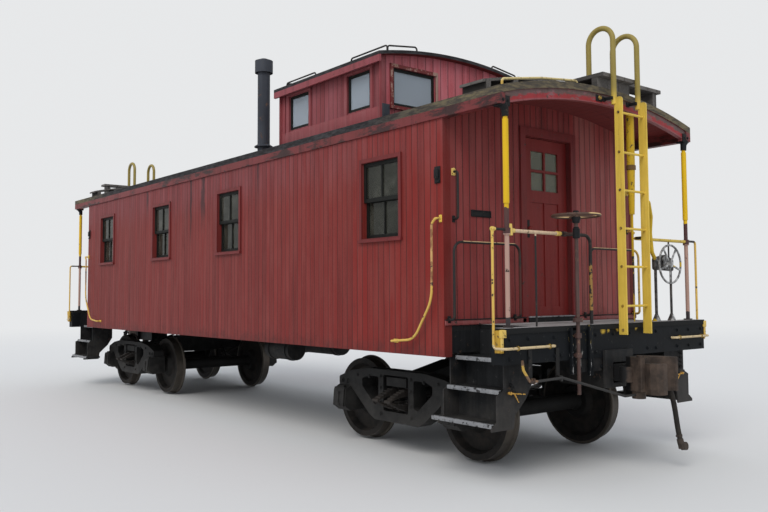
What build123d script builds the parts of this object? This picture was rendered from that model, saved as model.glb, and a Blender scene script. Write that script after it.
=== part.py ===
from build123d import *
import math
import os

# Frame: +X along the car to its front platform, -Y the left side, +Z up, millimetres
# Z = 0 is the lowest point of the wheel flanges, midway between the two couplers

# Wheel and truck sizes
TREAD_R = 419.0
FLANGE = 25.0
BACK_TO_BACK = 1353.0
RIM_W = 140.0
WHEELBASE = 1676.0
JOURNAL_R = 65.0
JOURNAL_END = 1085.0
FRAME_Y0 = 900.0
FRAME_Y1 = 1060.0
PLATE_RISE = 454.0
SPRING_HALF = 300.0
SPRING_SAG = 45.0
LEAF_T = 10.0
LEAF_W = 80.0
LEAVES = 6
SHOE_CLEAR = 6.0

# Carbody sizes
BODY_HALF = 4478.0
BODY_HALF_W = 1402.0
WALL = 90.0
WALL_HEIGHT = 1808.0
SKIRT = 271.0
SILL_DEPTH = 244.0
FLOOR_T = 50.0
TRUCK_IN = 1078.0

# Roof and cupola sizes
EAVE_H = 148.0
EAVE_W = 78.0
EAVE_OVER = 18.0
ROOF_RISE = 192.0
ROOF_T = 62.0
BOW_T = 45.0
BOW_IN = 12.0
CUP_X0 = 1262.0
CUP_LENGTH = 1928.0
CUP_HALF_Y = 1044.0
CUP_WALL = 50.0
CUP_HEIGHT = 718.0
CUP_RISE = 125.0
CUP_ROOF_T = 35.0
CUP_OVER = 82.0
CUP_OVER_REAR = 40.0
CUP_SIDE_OVER = 99.0

# Platform sizes
PLATFORM = 747.0
SILL_W = 145.0
SILL_H = 244.0
SILL_OVER = 58.0
ROOF_SHORT = 62.0
DECK_T = 45.0
DECK_LIP = 10.0
WELL_IN = 442.0
STEP_PLATE = 14.0
RAIL_RISE = 783.0
POST_IN = 138.0
PIPE_R = 15.0

# Coupler and air hose sizes
COUPLER_DROP = 135.0
COUPLER_REACH = 495.0
HOSE_R = 23.0
TRAIN_PIPE_R = 21.0

# Clearance between pieces that meet on curved faces
SEAT = 0.3

# Heights that follow from them
WHEEL_Z = TREAD_R + FLANGE
PLATE_Z = WHEEL_Z + PLATE_RISE
SILL_BASE = PLATE_Z + 87
FLOOR_BASE = SILL_BASE + SILL_DEPTH
FLOOR_TOP = FLOOR_BASE + FLOOR_T
SIDE_BOTTOM = FLOOR_TOP - SKIRT
SIDE_TOP = FLOOR_TOP + WALL_HEIGHT
ROOF_CROWN = SIDE_TOP + EAVE_H + ROOF_RISE
CUP_CROWN = ROOF_CROWN + CUP_HEIGHT
DECK_BASE = FLOOR_TOP - DECK_T
SILL_Z0 = DECK_BASE - SILL_H
COUPLER_Z = SILL_BASE - COUPLER_DROP
RAIL_Z = FLOOR_TOP + RAIL_RISE

# Lengths and widths that follow from them
TRUCK_X = BODY_HALF - TRUCK_IN
SILL_X1 = BODY_HALF + PLATFORM
SILL_X0 = SILL_X1 - SILL_W
DECK_X1 = SILL_X1 + DECK_LIP
ROOF_HALF_X = SILL_X1 - ROOF_SHORT
BOW_X = ROOF_HALF_X - BOW_IN
COUPLER_X = SILL_X1 + COUPLER_REACH
STEP_X0 = BODY_HALF - 33
CUP_X1 = CUP_X0 + CUP_LENGTH
INNER_Y = BODY_HALF_W - WALL
ROOF_HALF_Y = BODY_HALF_W + EAVE_OVER
CUP_ROOF_HALF_Y = CUP_HALF_Y + CUP_SIDE_OVER
SILL_HALF_Y = BODY_HALF_W + SILL_OVER
WELL_Y = BODY_HALF_W - WELL_IN
POST_X = SILL_X0 + 60
POST_Y = SILL_HALF_Y - POST_IN
ROOF_R = (ROOF_HALF_Y ** 2 + ROOF_RISE ** 2) / (2 * ROOF_RISE)
CUP_R = (CUP_ROOF_HALF_Y ** 2 + CUP_RISE ** 2) / (2 * CUP_RISE)


# Basic solids
def box(x0, x1, y0, y1, z0, z1):
    return Pos((x0 + x1) / 2, (y0 + y1) / 2, (z0 + z1) / 2) * Box(abs(x1 - x0), abs(y1 - y0), abs(z1 - z0))


def cyl(axis, a0, a1, u, v, radius):
    length = abs(a1 - a0)
    mid = (a0 + a1) / 2
    if axis == "x":
        return Pos(mid, u, v) * Rot(0, 90, 0) * Cylinder(radius, length)
    if axis == "y":
        return Pos(u, mid, v) * Rot(90, 0, 0) * Cylinder(radius, length)
    return Pos(u, v, mid) * Cylinder(radius, length)


def cone_z(x, y, z0, z1, low_radius, high_radius):
    return Pos(x, y, (z0 + z1) / 2) * Cone(low_radius, high_radius, z1 - z0)


def pipe(points, radius, bend):
    path = FilletPolyline(*points, radius=bend) if len(points) > 2 else Line(*points)
    section = Plane(origin=path @ 0, z_dir=path % 0) * Circle(radius)
    return sweep(section, path=path)


# Flat outlines pulled out along one axis, with their corners rounded
def outline(points, corner):
    face = make_face(Polyline(*points, close=True))
    return fillet(face.vertices(), corner) if corner else face


def prism_x(points, x0, x1, corner=0):
    face = Plane.YZ * outline(points, corner)
    return Pos(min(x0, x1), 0, 0) * extrude(face, abs(x1 - x0), dir=(1, 0, 0))


def prism_y(points, y0, y1, corner=0):
    face = Plane.XZ * outline(points, corner)
    return Pos(0, max(y0, y1), 0) * extrude(face, abs(y1 - y0), dir=(0, -1, 0))


def prism_z(points, z0, z1, corner=0):
    face = outline(points, corner)
    return Pos(0, 0, min(z0, z1)) * extrude(face, abs(z1 - z0), dir=(0, 0, 1))


# Space under an arched roof of the given outer radius
def vault(x0, x1, crown, radius):
    return cyl("x", x0, x1, 0, crown - radius, radius)


def roof_slab(x0, x1, half_y, crown, radius, thick):
    ring = vault(x0, x1, crown, radius) - vault(x0 - 10, x1 + 10, crown - thick, radius - thick)
    return ring & box(x0, x1, -half_y, half_y, crown - radius * 0.5, crown + 10)


def arc_z(y, crown, radius):
    return crown - radius + math.sqrt(radius ** 2 - y ** 2)


# The two ends are the same turned half round
def turned(shape):
    return Rot(0, 0, 180) * shape


def both_ends(shapes):
    return list(shapes) + [turned(s) for s in shapes]


def mirrored(shapes):
    return list(shapes) + [mirror(s, about=Plane.XZ) for s in shapes]


def save(name, shapes):
    solids = []
    for shape in shapes:
        solids.extend(shape.solids())
    whole = solids[0] if len(solids) == 1 else Compound(children=solids)
    export_step(whole, "parts/" + name + ".step")


# Side windows: centre along X
SIDE_WINDOW_X = (BODY_HALF - 872, 582.0, -1432.0, -BODY_HALF + 906)
WINDOW_W = 560.0
WINDOW_Z0 = FLOOR_TOP + 806
WINDOW_Z1 = WINDOW_Z0 + 740
# Cupola side windows: centre along X, width
CUP_SIDE_WINDOWS = (
    (CUP_X0 + 374, 410.0),
    (CUP_X1 - 392, 400.0),
)
CUP_WINDOW_Z0 = ROOF_CROWN + 73
CUP_WINDOW_Z1 = CUP_CROWN - 240
# Cupola end window: centre and half width along Y, sill height
CUP_END_Y = -0.58 * CUP_HALF_Y
CUP_END_HALF = 0.283 * CUP_HALF_Y
CUP_END_Z0 = ROOF_CROWN + 78
CASING_W = 38.0
CASING_T = 16.0
# Doorway and its hinge line
DOOR_HALF = 335.0
DOOR_HEAD = FLOOR_TOP + 1777
DOOR_T = 40.0
HINGE_X = BODY_HALF - WALL - 10
HINGE_Y = DOOR_HALF - 2


def build_walls():
    side = box(-BODY_HALF, BODY_HALF, -BODY_HALF_W, -INNER_Y, SIDE_BOTTOM, SIDE_TOP)
    for xc in SIDE_WINDOW_X:
        side -= box(xc - WINDOW_W / 2, xc + WINDOW_W / 2, -BODY_HALF_W - 5, -INNER_Y + 5, WINDOW_Z0, WINDOW_Z1)
    save("side_wall_left", [side])
    save("side_wall_right", [mirror(side, about=Plane.XZ)])
    x0 = BODY_HALF - WALL
    end = box(x0, BODY_HALF, -INNER_Y, INNER_Y, FLOOR_BASE, ROOF_CROWN)
    end &= vault(x0 - 5, BODY_HALF + 5, ROOF_CROWN - ROOF_T - SEAT, ROOF_R - ROOF_T - SEAT)
    end -= box(x0 - 5, BODY_HALF + 5, -DOOR_HALF, DOOR_HALF, FLOOR_TOP, DOOR_HEAD)
    save("end_wall_front", [end])
    save("end_wall_rear", [turned(end)])


def build_roof():
    hull = vault(-ROOF_HALF_X - 5, ROOF_HALF_X + 5, ROOF_CROWN - ROOF_T - SEAT, ROOF_R - ROOF_T - SEAT)
    eave = box(-ROOF_HALF_X, ROOF_HALF_X, -ROOF_HALF_Y, -ROOF_HALF_Y + EAVE_W, SIDE_TOP, ROOF_CROWN) & hull
    cup_hull = vault(CUP_X0 - 200, CUP_X1 + 200, CUP_CROWN - CUP_ROOF_T - SEAT, CUP_R - CUP_ROOF_T - SEAT)
    fascia_z = arc_z(CUP_ROOF_HALF_Y, CUP_CROWN, CUP_R) - 105
    fascia = box(CUP_X0 - CUP_OVER_REAR, CUP_X1 + CUP_OVER, -CUP_ROOF_HALF_Y, -CUP_ROOF_HALF_Y + 28, fascia_z, CUP_CROWN)
    save("eave_beams", mirrored([eave, fascia & cup_hull]))
    rear = roof_slab(-ROOF_HALF_X, CUP_X0 + CUP_WALL, ROOF_HALF_Y, ROOF_CROWN, ROOF_R, ROOF_T)
    front = roof_slab(CUP_X1 - CUP_WALL, ROOF_HALF_X, ROOF_HALF_Y, ROOF_CROWN, ROOF_R, ROOF_T)
    beside = roof_slab(CUP_X0 + CUP_WALL, CUP_X1 - CUP_WALL, ROOF_HALF_Y, ROOF_CROWN, ROOF_R, ROOF_T)
    beside &= box(CUP_X0, CUP_X1, -ROOF_HALF_Y, -CUP_HALF_Y + CUP_WALL, SIDE_TOP, ROOF_CROWN)
    save("main_roof", [rear, front] + mirrored([beside]))
    inner = ROOF_HALF_Y - EAVE_W
    bow = box(BOW_X - BOW_T, BOW_X, -inner, inner, SIDE_TOP, ROOF_CROWN) & hull
    bow -= vault(BOW_X - 60, BOW_X + 5, ROOF_CROWN - ROOF_T - 92, ROOF_R - ROOF_T - 92)
    for y in (-inner, inner - 60):
        bow += box(BOW_X - BOW_T, BOW_X, y, y + 60, SIDE_TOP, SIDE_TOP + 90) & hull
    save("roof_bows", both_ends([bow]))


def build_cupola():
    over = vault(CUP_X0 - 5, CUP_X1 + 5, CUP_CROWN - CUP_ROOF_T - SEAT, CUP_R - CUP_ROOF_T - SEAT)
    under = vault(CUP_X0 - 5, CUP_X1 + 5, ROOF_CROWN + SEAT, ROOF_R + SEAT)
    base = SIDE_TOP + 113
    side = box(CUP_X0, CUP_X1, -CUP_HALF_Y, -CUP_HALF_Y + CUP_WALL, base, CUP_CROWN) & over
    side -= under
    for xc, width in CUP_SIDE_WINDOWS:
        side -= box(xc - width / 2, xc + width / 2, -CUP_HALF_Y - 5, -CUP_HALF_Y + CUP_WALL + 5,
                    CUP_WINDOW_Z0, CUP_WINDOW_Z1)
    save("cupola_sides", mirrored([side]))
    inner = CUP_HALF_Y - CUP_WALL
    ends = []
    for x0, yc in ((CUP_X1 - CUP_WALL, CUP_END_Y), (CUP_X0, -CUP_END_Y)):
        end = box(x0, x0 + CUP_WALL, -inner, inner, base, CUP_CROWN) & over
        end -= under
        end -= box(x0 - 5, x0 + CUP_WALL + 5, yc - CUP_END_HALF, yc + CUP_END_HALF, CUP_END_Z0, CUP_WINDOW_Z1)
        ends.append(end)
    save("cupola_ends", ends)
    save("cupola_roof", [
        roof_slab(CUP_X0 - CUP_OVER_REAR, CUP_X1 + CUP_OVER, CUP_ROOF_HALF_Y, CUP_CROWN, CUP_R, CUP_ROOF_T)
    ])


# A sash is a frame with a muntin grid; its panes fill the openings
def sash(x0, x1, y0, y1, z0, z1, columns, rows, rail, bar):
    frame = box(x0, x1, y0, y1, z0, z1)
    panes = []
    cell_w = (x1 - x0 - 2 * rail - (columns - 1) * bar) / columns
    cell_h = (z1 - z0 - 2 * rail - (rows - 1) * bar) / rows
    mid = (y0 + y1) / 2
    for i in range(columns):
        for j in range(rows):
            px = x0 + rail + i * (cell_w + bar)
            pz = z0 + rail + j * (cell_h + bar)
            frame -= box(px, px + cell_w, y0 - 5, y1 + 5, pz, pz + cell_h)
            panes.append(box(px, px + cell_w, mid - 2.5, mid + 2.5, pz, pz + cell_h))
    return frame, panes


# A casing is a flat board frame with a sill that stands out further
def casing(x0, x1, face, z0, z1):
    ring = box(x0 - CASING_W, x1 + CASING_W, face - CASING_T, face, z0 - CASING_W, z1 + CASING_W)
    ring -= box(x0, x1, face - CASING_T - 5, face + 5, z0, z1)
    return ring + box(x0 - CASING_W - 10, x1 + CASING_W + 10, face - 30, face, z0 - CASING_W, z0 - 12)


def build_windows():
    casings = []
    frames = []
    glass = []
    face = -BODY_HALF_W
    mid = (WINDOW_Z0 + WINDOW_Z1) / 2
    for xc in SIDE_WINDOW_X:
        x0 = xc - WINDOW_W / 2
        x1 = xc + WINDOW_W / 2
        casings.append(casing(x0, x1, face, WINDOW_Z0, WINDOW_Z1))
        upper, up_panes = sash(x0, x1, face + 18, face + 48, mid - 16, WINDOW_Z1, 2, 1, 38, 20)
        lower, low_panes = sash(x0, x1, face + 50, face + 80, WINDOW_Z0, mid + 16, 2, 1, 38, 20)
        frames += [upper, lower]
        glass += up_panes + low_panes
    for xc, width in CUP_SIDE_WINDOWS:
        frame, panes = sash(xc - width / 2, xc + width / 2, -CUP_HALF_Y + 12, -CUP_HALF_Y + 38,
                            CUP_WINDOW_Z0, CUP_WINDOW_Z1, 1, 1, 32, 0)
        frames.append(frame)
        glass += panes
    casings = mirrored(casings)
    frames = mirrored(frames)
    glass = mirrored(glass)
    end_casing = casing(-CUP_END_HALF, CUP_END_HALF, 0, CUP_END_Z0, CUP_WINDOW_Z1)
    frame, panes = sash(-CUP_END_HALF, CUP_END_HALF, 12, CUP_WALL - 12, CUP_END_Z0, CUP_WINDOW_Z1, 1, 1, 32, 0)
    for x, yc, turn in ((CUP_X1, CUP_END_Y, 90), (CUP_X0, -CUP_END_Y, -90)):
        place = Pos(x, yc, 0) * Rot(0, 0, turn)
        casings.append(place * end_casing)
        frames.append(place * frame)
        glass += [place * p for p in panes]
    outer = DOOR_HALF + 75
    door_casing = box(BODY_HALF, BODY_HALF + CASING_T, -outer, outer, FLOOR_TOP, DOOR_HEAD + 85)
    door_casing -= box(BODY_HALF - 5, BODY_HALF + CASING_T + 5, -DOOR_HALF, DOOR_HALF, FLOOR_TOP - 5, DOOR_HEAD)
    casings += both_ends([door_casing])
    save("window_casings", casings)
    save("window_sashes", frames)
    save("window_glass", glass)


def build_doors():
    x0 = BODY_HALF - WALL + 5
    x1 = x0 + DOOR_T
    leaf = box(x0, x1, -DOOR_HALF + 9, DOOR_HALF - 5, FLOOR_TOP + 6, DOOR_HEAD - 6)
    glass = []
    light_base = DOOR_HEAD - 511
    for y0, y1 in ((-DOOR_HALF + 135, -12), (12, DOOR_HALF - 135)):
        for z0 in (light_base, light_base + 205):
            leaf -= box(x0 - 5, x1 + 5, y0, y1, z0, z0 + 180)
            glass.append(box(x0 + DOOR_T / 2 - 3, x0 + DOOR_T / 2 + 3, y0, y1, z0, z0 + 180))
        leaf -= box(x1 - 10, x1 + 5, y0, y1, FLOOR_TOP + 141, light_base - 115)
        leaf -= box(x0 - 5, x0 + 10, y0, y1, FLOOR_TOP + 141, light_base - 115)
    knob_z = FLOOR_TOP + 890
    leaf += cyl("x", x1, x1 + 30, -DOOR_HALF + 70, knob_z, 10)
    leaf += Pos(x1 + 35, -DOOR_HALF + 70, knob_z) * Sphere(24)
    hinges = []
    for z in (FLOOR_TOP + 221, (FLOOR_TOP + DOOR_HEAD) / 2, DOOR_HEAD - 216):
        pin = cyl("z", z - 60, z + 60, HINGE_X, HINGE_Y, 6)
        pin += box(HINGE_X + 4, BODY_HALF - WALL, DOOR_HALF, DOOR_HALF + 45, z - 19, z + 19)
        hinges.append(pin)
        for z0, z1 in ((z - 60, z - 20), (z + 20, z + 60)):
            barrel = cyl("z", z0, z1, HINGE_X, HINGE_Y, 9)
            barrel += box(HINGE_X, x0, HINGE_Y - 13, HINGE_Y - 3, z0, z1)
            leaf += barrel - cyl("z", z0 - 1, z1 + 1, HINGE_X, HINGE_Y, 6 + SEAT)
    save("door_hinges", both_ends(hinges))
    save("door_front", [leaf])
    save("door_front_glass", glass)
    save("door_rear", [turned(leaf)])
    save("door_rear_glass", [turned(g) for g in glass])


# Cross members: centre along X, width, depth below the floor
CROSS_MEMBERS = (
    (TRUCK_X, 260.0, 200.0),
    (0.2 * BODY_HALF, 120.0, 150.0),
    (0.47 * BODY_HALF, 100.0, 130.0),
)


def build_underframe():
    edge = BODY_HALF - WALL
    save("center_sill", [box(-SILL_X0, SILL_X0, -165, 165, SILL_BASE, FLOOR_BASE)])
    save("side_sills", mirrored([box(-edge, edge, -INNER_Y, -INNER_Y + 120, FLOOR_BASE - 189, FLOOR_BASE)]))
    cross = []
    for xc, width, depth in CROSS_MEMBERS:
        stop = INNER_Y - 120
        arm = prism_x([(165, FLOOR_BASE), (stop, FLOOR_BASE), (stop, FLOOR_BASE - 0.6 * depth),
                       (165, FLOOR_BASE - depth)], xc - width / 2, xc + width / 2)
        cross += mirrored([arm])
    cross += mirrored([box(edge, BODY_HALF, 165, INNER_Y, FLOOR_BASE - 189, FLOOR_BASE)])
    plate = cyl("z", PLATE_Z + SEAT, SILL_BASE, TRUCK_X, 0, 150)
    save("cross_members", both_ends(cross + [plate]))
    save("floor", [box(-edge, edge, -INNER_Y, INNER_Y, FLOOR_BASE, FLOOR_TOP)])


def build_platforms():
    deck = box(BODY_HALF, DECK_X1, -WELL_Y, WELL_Y, DECK_BASE, FLOOR_TOP)
    deck += box(SILL_X0, DECK_X1, -SILL_HALF_Y, SILL_HALF_Y, DECK_BASE, FLOOR_TOP)
    save("platform_decks", both_ends([deck]))
    sill = box(SILL_X0, SILL_X1, -SILL_HALF_Y, SILL_HALF_Y, SILL_Z0, DECK_BASE)
    save("end_sills", both_ends([sill]))
    beam = box(BODY_HALF, SILL_X0, -WELL_Y, -WELL_Y + 90, SILL_Z0 + 50, DECK_BASE)
    save("platform_beams", both_ends(mirrored([beam])))


# Treads: nose and back measured in from the sill end, drop of the top below the floor
TREADS = (
    (12.0, 245.0, 772.0),
    (100.0, 340.0, 509.0),
    (205.0, WELL_IN + SILL_OVER, 265.0),
)
TREAD_T = 28.0
TREAD_OUT = 90.0


def stringer(x0, top):
    y = SILL_HALF_Y
    z = FLOOR_TOP
    points = [
        (-y - 2, z - 824), (-y + 255, z - 824), (-y + 270, z - 719), (-y + 410, z - 589), (-WELL_Y - 15, z - 469),
        (-WELL_Y - 15, top), (-y + 147, top), (-y + 147, z - 505), (-y + 62, z - 545), (-y + 62, z - 755),
        (-y - 2, z - 800),
    ]
    return prism_x(points, x0, x0 + STEP_PLATE)


def build_steps():
    plates = [stringer(STEP_X0, SIDE_BOTTOM - 3), stringer(SILL_X0 - STEP_PLATE, FLOOR_TOP - 47)]
    treads = []
    ceilings = [FLOOR_TOP - drop - TREAD_T for _, _, drop in TREADS[1:]] + [DECK_BASE]
    for (nose, back, drop), ceiling in zip(TREADS, ceilings):
        top = FLOOR_TOP - drop
        nose_y = -SILL_HALF_Y + nose
        riser_y = -SILL_HALF_Y + back
        riser_x0 = BODY_HALF if ceiling == DECK_BASE else STEP_X0 + STEP_PLATE
        treads.append(box(STEP_X0 + STEP_PLATE, SILL_X0 - STEP_PLATE, nose_y, riser_y, top - TREAD_T, top))
        treads.append(box(riser_x0, SILL_X0 - STEP_PLATE, riser_y - 8, riser_y, top, ceiling))
    low = FLOOR_TOP - TREADS[0][2]
    treads.append(box(STEP_X0 - TREAD_OUT, STEP_X0, -SILL_HALF_Y + 12, -SILL_HALF_Y + 245, low - TREAD_T, low))
    save("step_stringers", both_ends(mirrored(plates)))
    save("step_treads", both_ends(mirrored(treads)))


# Ladder: bar positions along Y, rung heights above the floor
LADDER_Y = (35.0, 408.0)
RUNG_RISE = (155.0, 509.0, 853.0, 1200.0, 1547.0, 1911.0)
BAR_T = 14.0
BAR_W = 84.0
WALK_TOP = ROOF_CROWN + 133
WALK_T = 35.0
HOOP_TOP = WALK_TOP + 443
RUNG_X = DECK_X1 + BAR_W / 2


def build_ladders():
    rails = []
    top = ROOF_CROWN - 97
    near = DECK_X1 - 5
    far = near - 270
    for y in LADDER_Y:
        points = [(DECK_X1, FLOOR_TOP - 99), (DECK_X1 + BAR_W, FLOOR_TOP - 99), (DECK_X1 + BAR_W, top),
                  (DECK_X1, top)]
        bar = prism_y(points, y - BAR_T / 2, y + BAR_T / 2)
        bar = fillet(bar.edges().filter_by(Axis.Y).filter_by_position(Axis.Z, top - 1, top + 1), 30)
        hoop = pipe([(near, y, top - 60), (near, y, HOOP_TOP), (far, y, HOOP_TOP), (far, y, WALK_TOP)], 25, 134)
        rails.append(bar + hoop)
    inset = BAR_T / 2
    rungs = [cyl("y", LADDER_Y[0] + inset, LADDER_Y[1] - inset, RUNG_X, FLOOR_TOP + rise, 11) for rise in RUNG_RISE]
    save("ladder_rails", both_ends(rails))
    save("ladder_rungs", both_ends(rungs))


# Long walk: its boards along Y, then where it stops at the roof end
WALK_Y = (-80.0, 88.0, 256.0)
WALK_BOARD = 164.0
WALK_X1 = DECK_X1 - 35
ARCH_X = (BODY_HALF + 82, BODY_HALF + 226)
ARCH_W = 138.0


def build_roof_walks():
    boards = []
    base = WALK_TOP - WALK_T
    for y0 in WALK_Y:
        boards.append(box(CUP_X1 + CUP_OVER + 20, WALK_X1, y0, y0 + WALK_BOARD, base, WALK_TOP))
        boards.append(box(-WALK_X1, CUP_X0 - CUP_OVER - 20, -y0 - WALK_BOARD, -y0, base, WALK_TOP))
    edge = WALK_Y[-1] + WALK_BOARD
    boards += both_ends([box(WALK_X1 - 270, WALK_X1 - 80, edge + 4, edge + 550, base, WALK_TOP)])
    arch_crown = base - SEAT
    for x0 in ARCH_X:
        arch = roof_slab(x0, x0 + ARCH_W, ROOF_HALF_Y - 150, arch_crown, ROOF_R + arch_crown - ROOF_CROWN, 25)
        boards += both_ends([arch])
    save("roof_walks", boards)
    under = vault(-ROOF_HALF_X, ROOF_HALF_X, ROOF_CROWN + SEAT, ROOF_R + SEAT)
    cleats = []
    for xc in (CUP_X1 + 310, ROOF_HALF_X - 800, ROOF_HALF_X - 60):
        cleats.append(box(xc - 30, xc + 30, WALK_Y[0], edge, ROOF_CROWN - 100, base) - under)
    for k in range(6):
        xc = -ROOF_HALF_X + 60 + k * (CUP_X0 + ROOF_HALF_X - 500) / 5
        cleats.append(box(xc - 30, xc + 30, -edge, -WALK_Y[0], ROOF_CROWN - 100, base) - under)
    side_cleat = box(WALK_X1 - 250, WALK_X1 - 100, edge + 440, edge + 500, ROOF_CROWN - 200, base) - under
    cleats += both_ends([side_cleat])
    arch_under = vault(-ROOF_HALF_X, ROOF_HALF_X, arch_crown - 25 - SEAT, ROOF_R + arch_crown - ROOF_CROWN - 25 - SEAT)
    for y in (-1200, -850, -500, 600, 900, 1200):
        block = box(ARCH_X[0], ARCH_X[1] + ARCH_W, y - 30, y + 30, ROOF_CROWN - 300, ROOF_CROWN + 60)
        cleats += both_ends([(block & arch_under) - under])
    save("walk_cleats", cleats)


def build_posts():
    low = RAIL_Z + 20
    high = RAIL_Z + 220
    post = cyl("z", FLOOR_TOP, SIDE_TOP, POST_X, -POST_Y, 19)
    post += cyl("z", FLOOR_TOP, FLOOR_TOP + 12, POST_X, -POST_Y, 42)
    post += cyl("z", RAIL_Z - 35, low, POST_X, -POST_Y, 30)
    post += cyl("z", high, high + 690, POST_X, -POST_Y, 25)
    save("corner_posts", both_ends(mirrored([post])))
    left = pipe([(POST_X, -POST_Y, RAIL_Z), (POST_X, -240, RAIL_Z), (POST_X, -240, FLOOR_TOP)], PIPE_R, 80)
    left += cyl("z", FLOOR_TOP, RAIL_Z, POST_X, -POST_Y + 347, 8)
    ladder_edge = LADDER_Y[1]
    right = pipe([(POST_X, POST_Y, RAIL_Z), (POST_X, ladder_edge, RAIL_Z), (DECK_X1, ladder_edge, RAIL_Z)], PIPE_R, 60)
    left -= cyl("z", RAIL_Z - 80, RAIL_Z + 80, POST_X, -POST_Y, 30 + SEAT)
    right -= cyl("z", RAIL_Z - 80, RAIL_Z + 80, POST_X, POST_Y, 30 + SEAT)
    save("end_railings", both_ends([left, right]))


def hand_wheel(radius, rim, spokes):
    wheel = Torus(radius - rim, rim) + Cylinder(0.17 * radius, 3 * rim)
    reach = radius - rim
    for k in range(spokes):
        arm = Pos(reach / 2, 0, 0) * Box(reach, 1.7 * rim, rim)
        wheel += Rot(0, 0, 360 / spokes * k) * arm
    return wheel


STAFF_X = SILL_X1 + 45
STAFF_Y = -600.0
STAFF_R = 16.0
STAFF_TOP = RAIL_Z + 130
WHEEL_R = 210.0


def build_brakes():
    staff = cyl("z", SILL_Z0 - 290, STAFF_TOP, STAFF_X, STAFF_Y, STAFF_R)
    for z in (SILL_Z0 + 40, DECK_BASE - 40):
        staff += box(SILL_X1, STAFF_X, STAFF_Y - 25, STAFF_Y + 25, z - 12, z + 12)
        staff += cyl("z", z - 20, z + 20, STAFF_X, STAFF_Y, STAFF_R + 12)
    bracket = box(POST_X, STAFF_X, STAFF_Y - 18, STAFF_Y + 18, RAIL_Z - 8, RAIL_Z + 8)
    bracket += cyl("y", STAFF_Y - 22, STAFF_Y + 22, POST_X, RAIL_Z, PIPE_R + 8)
    bracket -= cyl("y", STAFF_Y - 60, STAFF_Y + 60, POST_X, RAIL_Z, PIPE_R + SEAT)
    staff += bracket
    staff += cyl("z", FLOOR_TOP + 30, FLOOR_TOP + 62, STAFF_X, STAFF_Y, 42)
    save("brake_staffs", both_ends([staff]))
    wheel = Pos(STAFF_X, STAFF_Y, STAFF_TOP + 18) * hand_wheel(WHEEL_R, 12, 5)
    save("brake_wheels", both_ends([wheel]))


# Geared hand brake on two stands beside the ladder
GEAR_X = POST_X + 12
GEAR_Y = 1025.0
HUB_Y = GEAR_Y - 92
GEAR_WHEEL_R = 195.0
GEAR_Z = FLOOR_TOP + 549


def build_gear_brakes():
    z = GEAR_Z
    case = prism_x([(GEAR_Y - 285, z - 55), (GEAR_Y + 40, z - 65), (GEAR_Y + 40, z + 45), (GEAR_Y - 90, z + 95),
                    (GEAR_Y - 285, z + 60)], POST_X - 18, GEAR_X, 25)
    gear = case
    for y, radius in ((GEAR_Y - 255, 14), (GEAR_Y + 5, 12)):
        gear += cyl("z", FLOOR_TOP, z - 20, POST_X, y, radius)
        gear += cone_z(POST_X, y, FLOOR_TOP, FLOOR_TOP + 70, 42, radius)
    gear += cyl("x", GEAR_X, GEAR_X + 20, GEAR_Y - 125, z + 48, 35)
    gear += cyl("x", GEAR_X, GEAR_X + 16, HUB_Y, z, 58)
    gear += cyl("x", GEAR_X, GEAR_X + 60, HUB_Y, z, 13)
    gear += Pos(GEAR_X + 45, HUB_Y, z) * Rot(0, 90, 0) * hand_wheel(GEAR_WHEEL_R, 10, 5)
    brace = cyl("z", z + 40, RAIL_Z, POST_X, GEAR_Y - 21, 8)
    gear += brace - cyl("y", GEAR_Y - 60, GEAR_Y + 60, POST_X, RAIL_Z, PIPE_R + SEAT)
    top = RAIL_Z + 338
    clear = POST_X + PIPE_R + 27
    edge = LADDER_Y[1] + BAR_T / 2
    tube = pipe([(RUNG_X, edge, top), (RUNG_X, edge + 55, top), (RUNG_X - 50, edge + 165, top - 130),
                 (clear, edge + 215, RAIL_Z + 60), (clear, edge + 240, z + 105), (POST_X, GEAR_Y - 248, z + 35)],
                18, 45)
    gear += tube
    save("hand_brake_gears", both_ends([gear]))


def build_drop_pipes():
    x = BOW_X - BOW_T - 39
    y = LADDER_Y[1] + 105
    knee = FLOOR_TOP + 1021
    drop = cyl("z", knee + 450, ROOF_CROWN, x, y, 38)
    drop &= vault(x - 60, x + 60, ROOF_CROWN - ROOF_T - SEAT, ROOF_R - ROOF_T - SEAT)
    drop += cyl("z", knee + 430, knee + 470, x, y, 46)
    drop += cone_z(x, y, knee, knee + 450, 25, 38)
    drop += cyl("z", FLOOR_TOP + 496, knee, x, y, 11)
    drop += cyl("z", FLOOR_TOP, FLOOR_TOP + 496, x, y, 6)
    save("drop_pipes", both_ends([drop]))


def build_stack():
    x = 470.0
    y = -0.6 * BODY_HALF_W
    top = ROOF_CROWN + 1203
    foot = arc_z(y, ROOF_CROWN, ROOF_R)
    tube = cyl("z", foot - 80, top - 30, x, y, 80)
    tube += cone_z(x, y, foot + 112, foot + 135, 120, 84) + cyl("z", foot + 100, foot + 112, x, y, 120)
    tube += cyl("z", foot - 60, foot + 22, x, y, 128)
    tube -= vault(x - 300, x + 300, ROOF_CROWN + SEAT, ROOF_R + SEAT)
    cap = cyl("z", top - 190, top - 30, x, y, 116) - cyl("z", top - 200, top - 40, x, y, 110)
    cap += cone_z(x, y, top - 30, top, 116, 40)
    save("smoke_stack", [tube + cap])


LOCK_X = SILL_X1 + 258
LOCK_Y = -60.0
LOCK_R = 58.0


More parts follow.
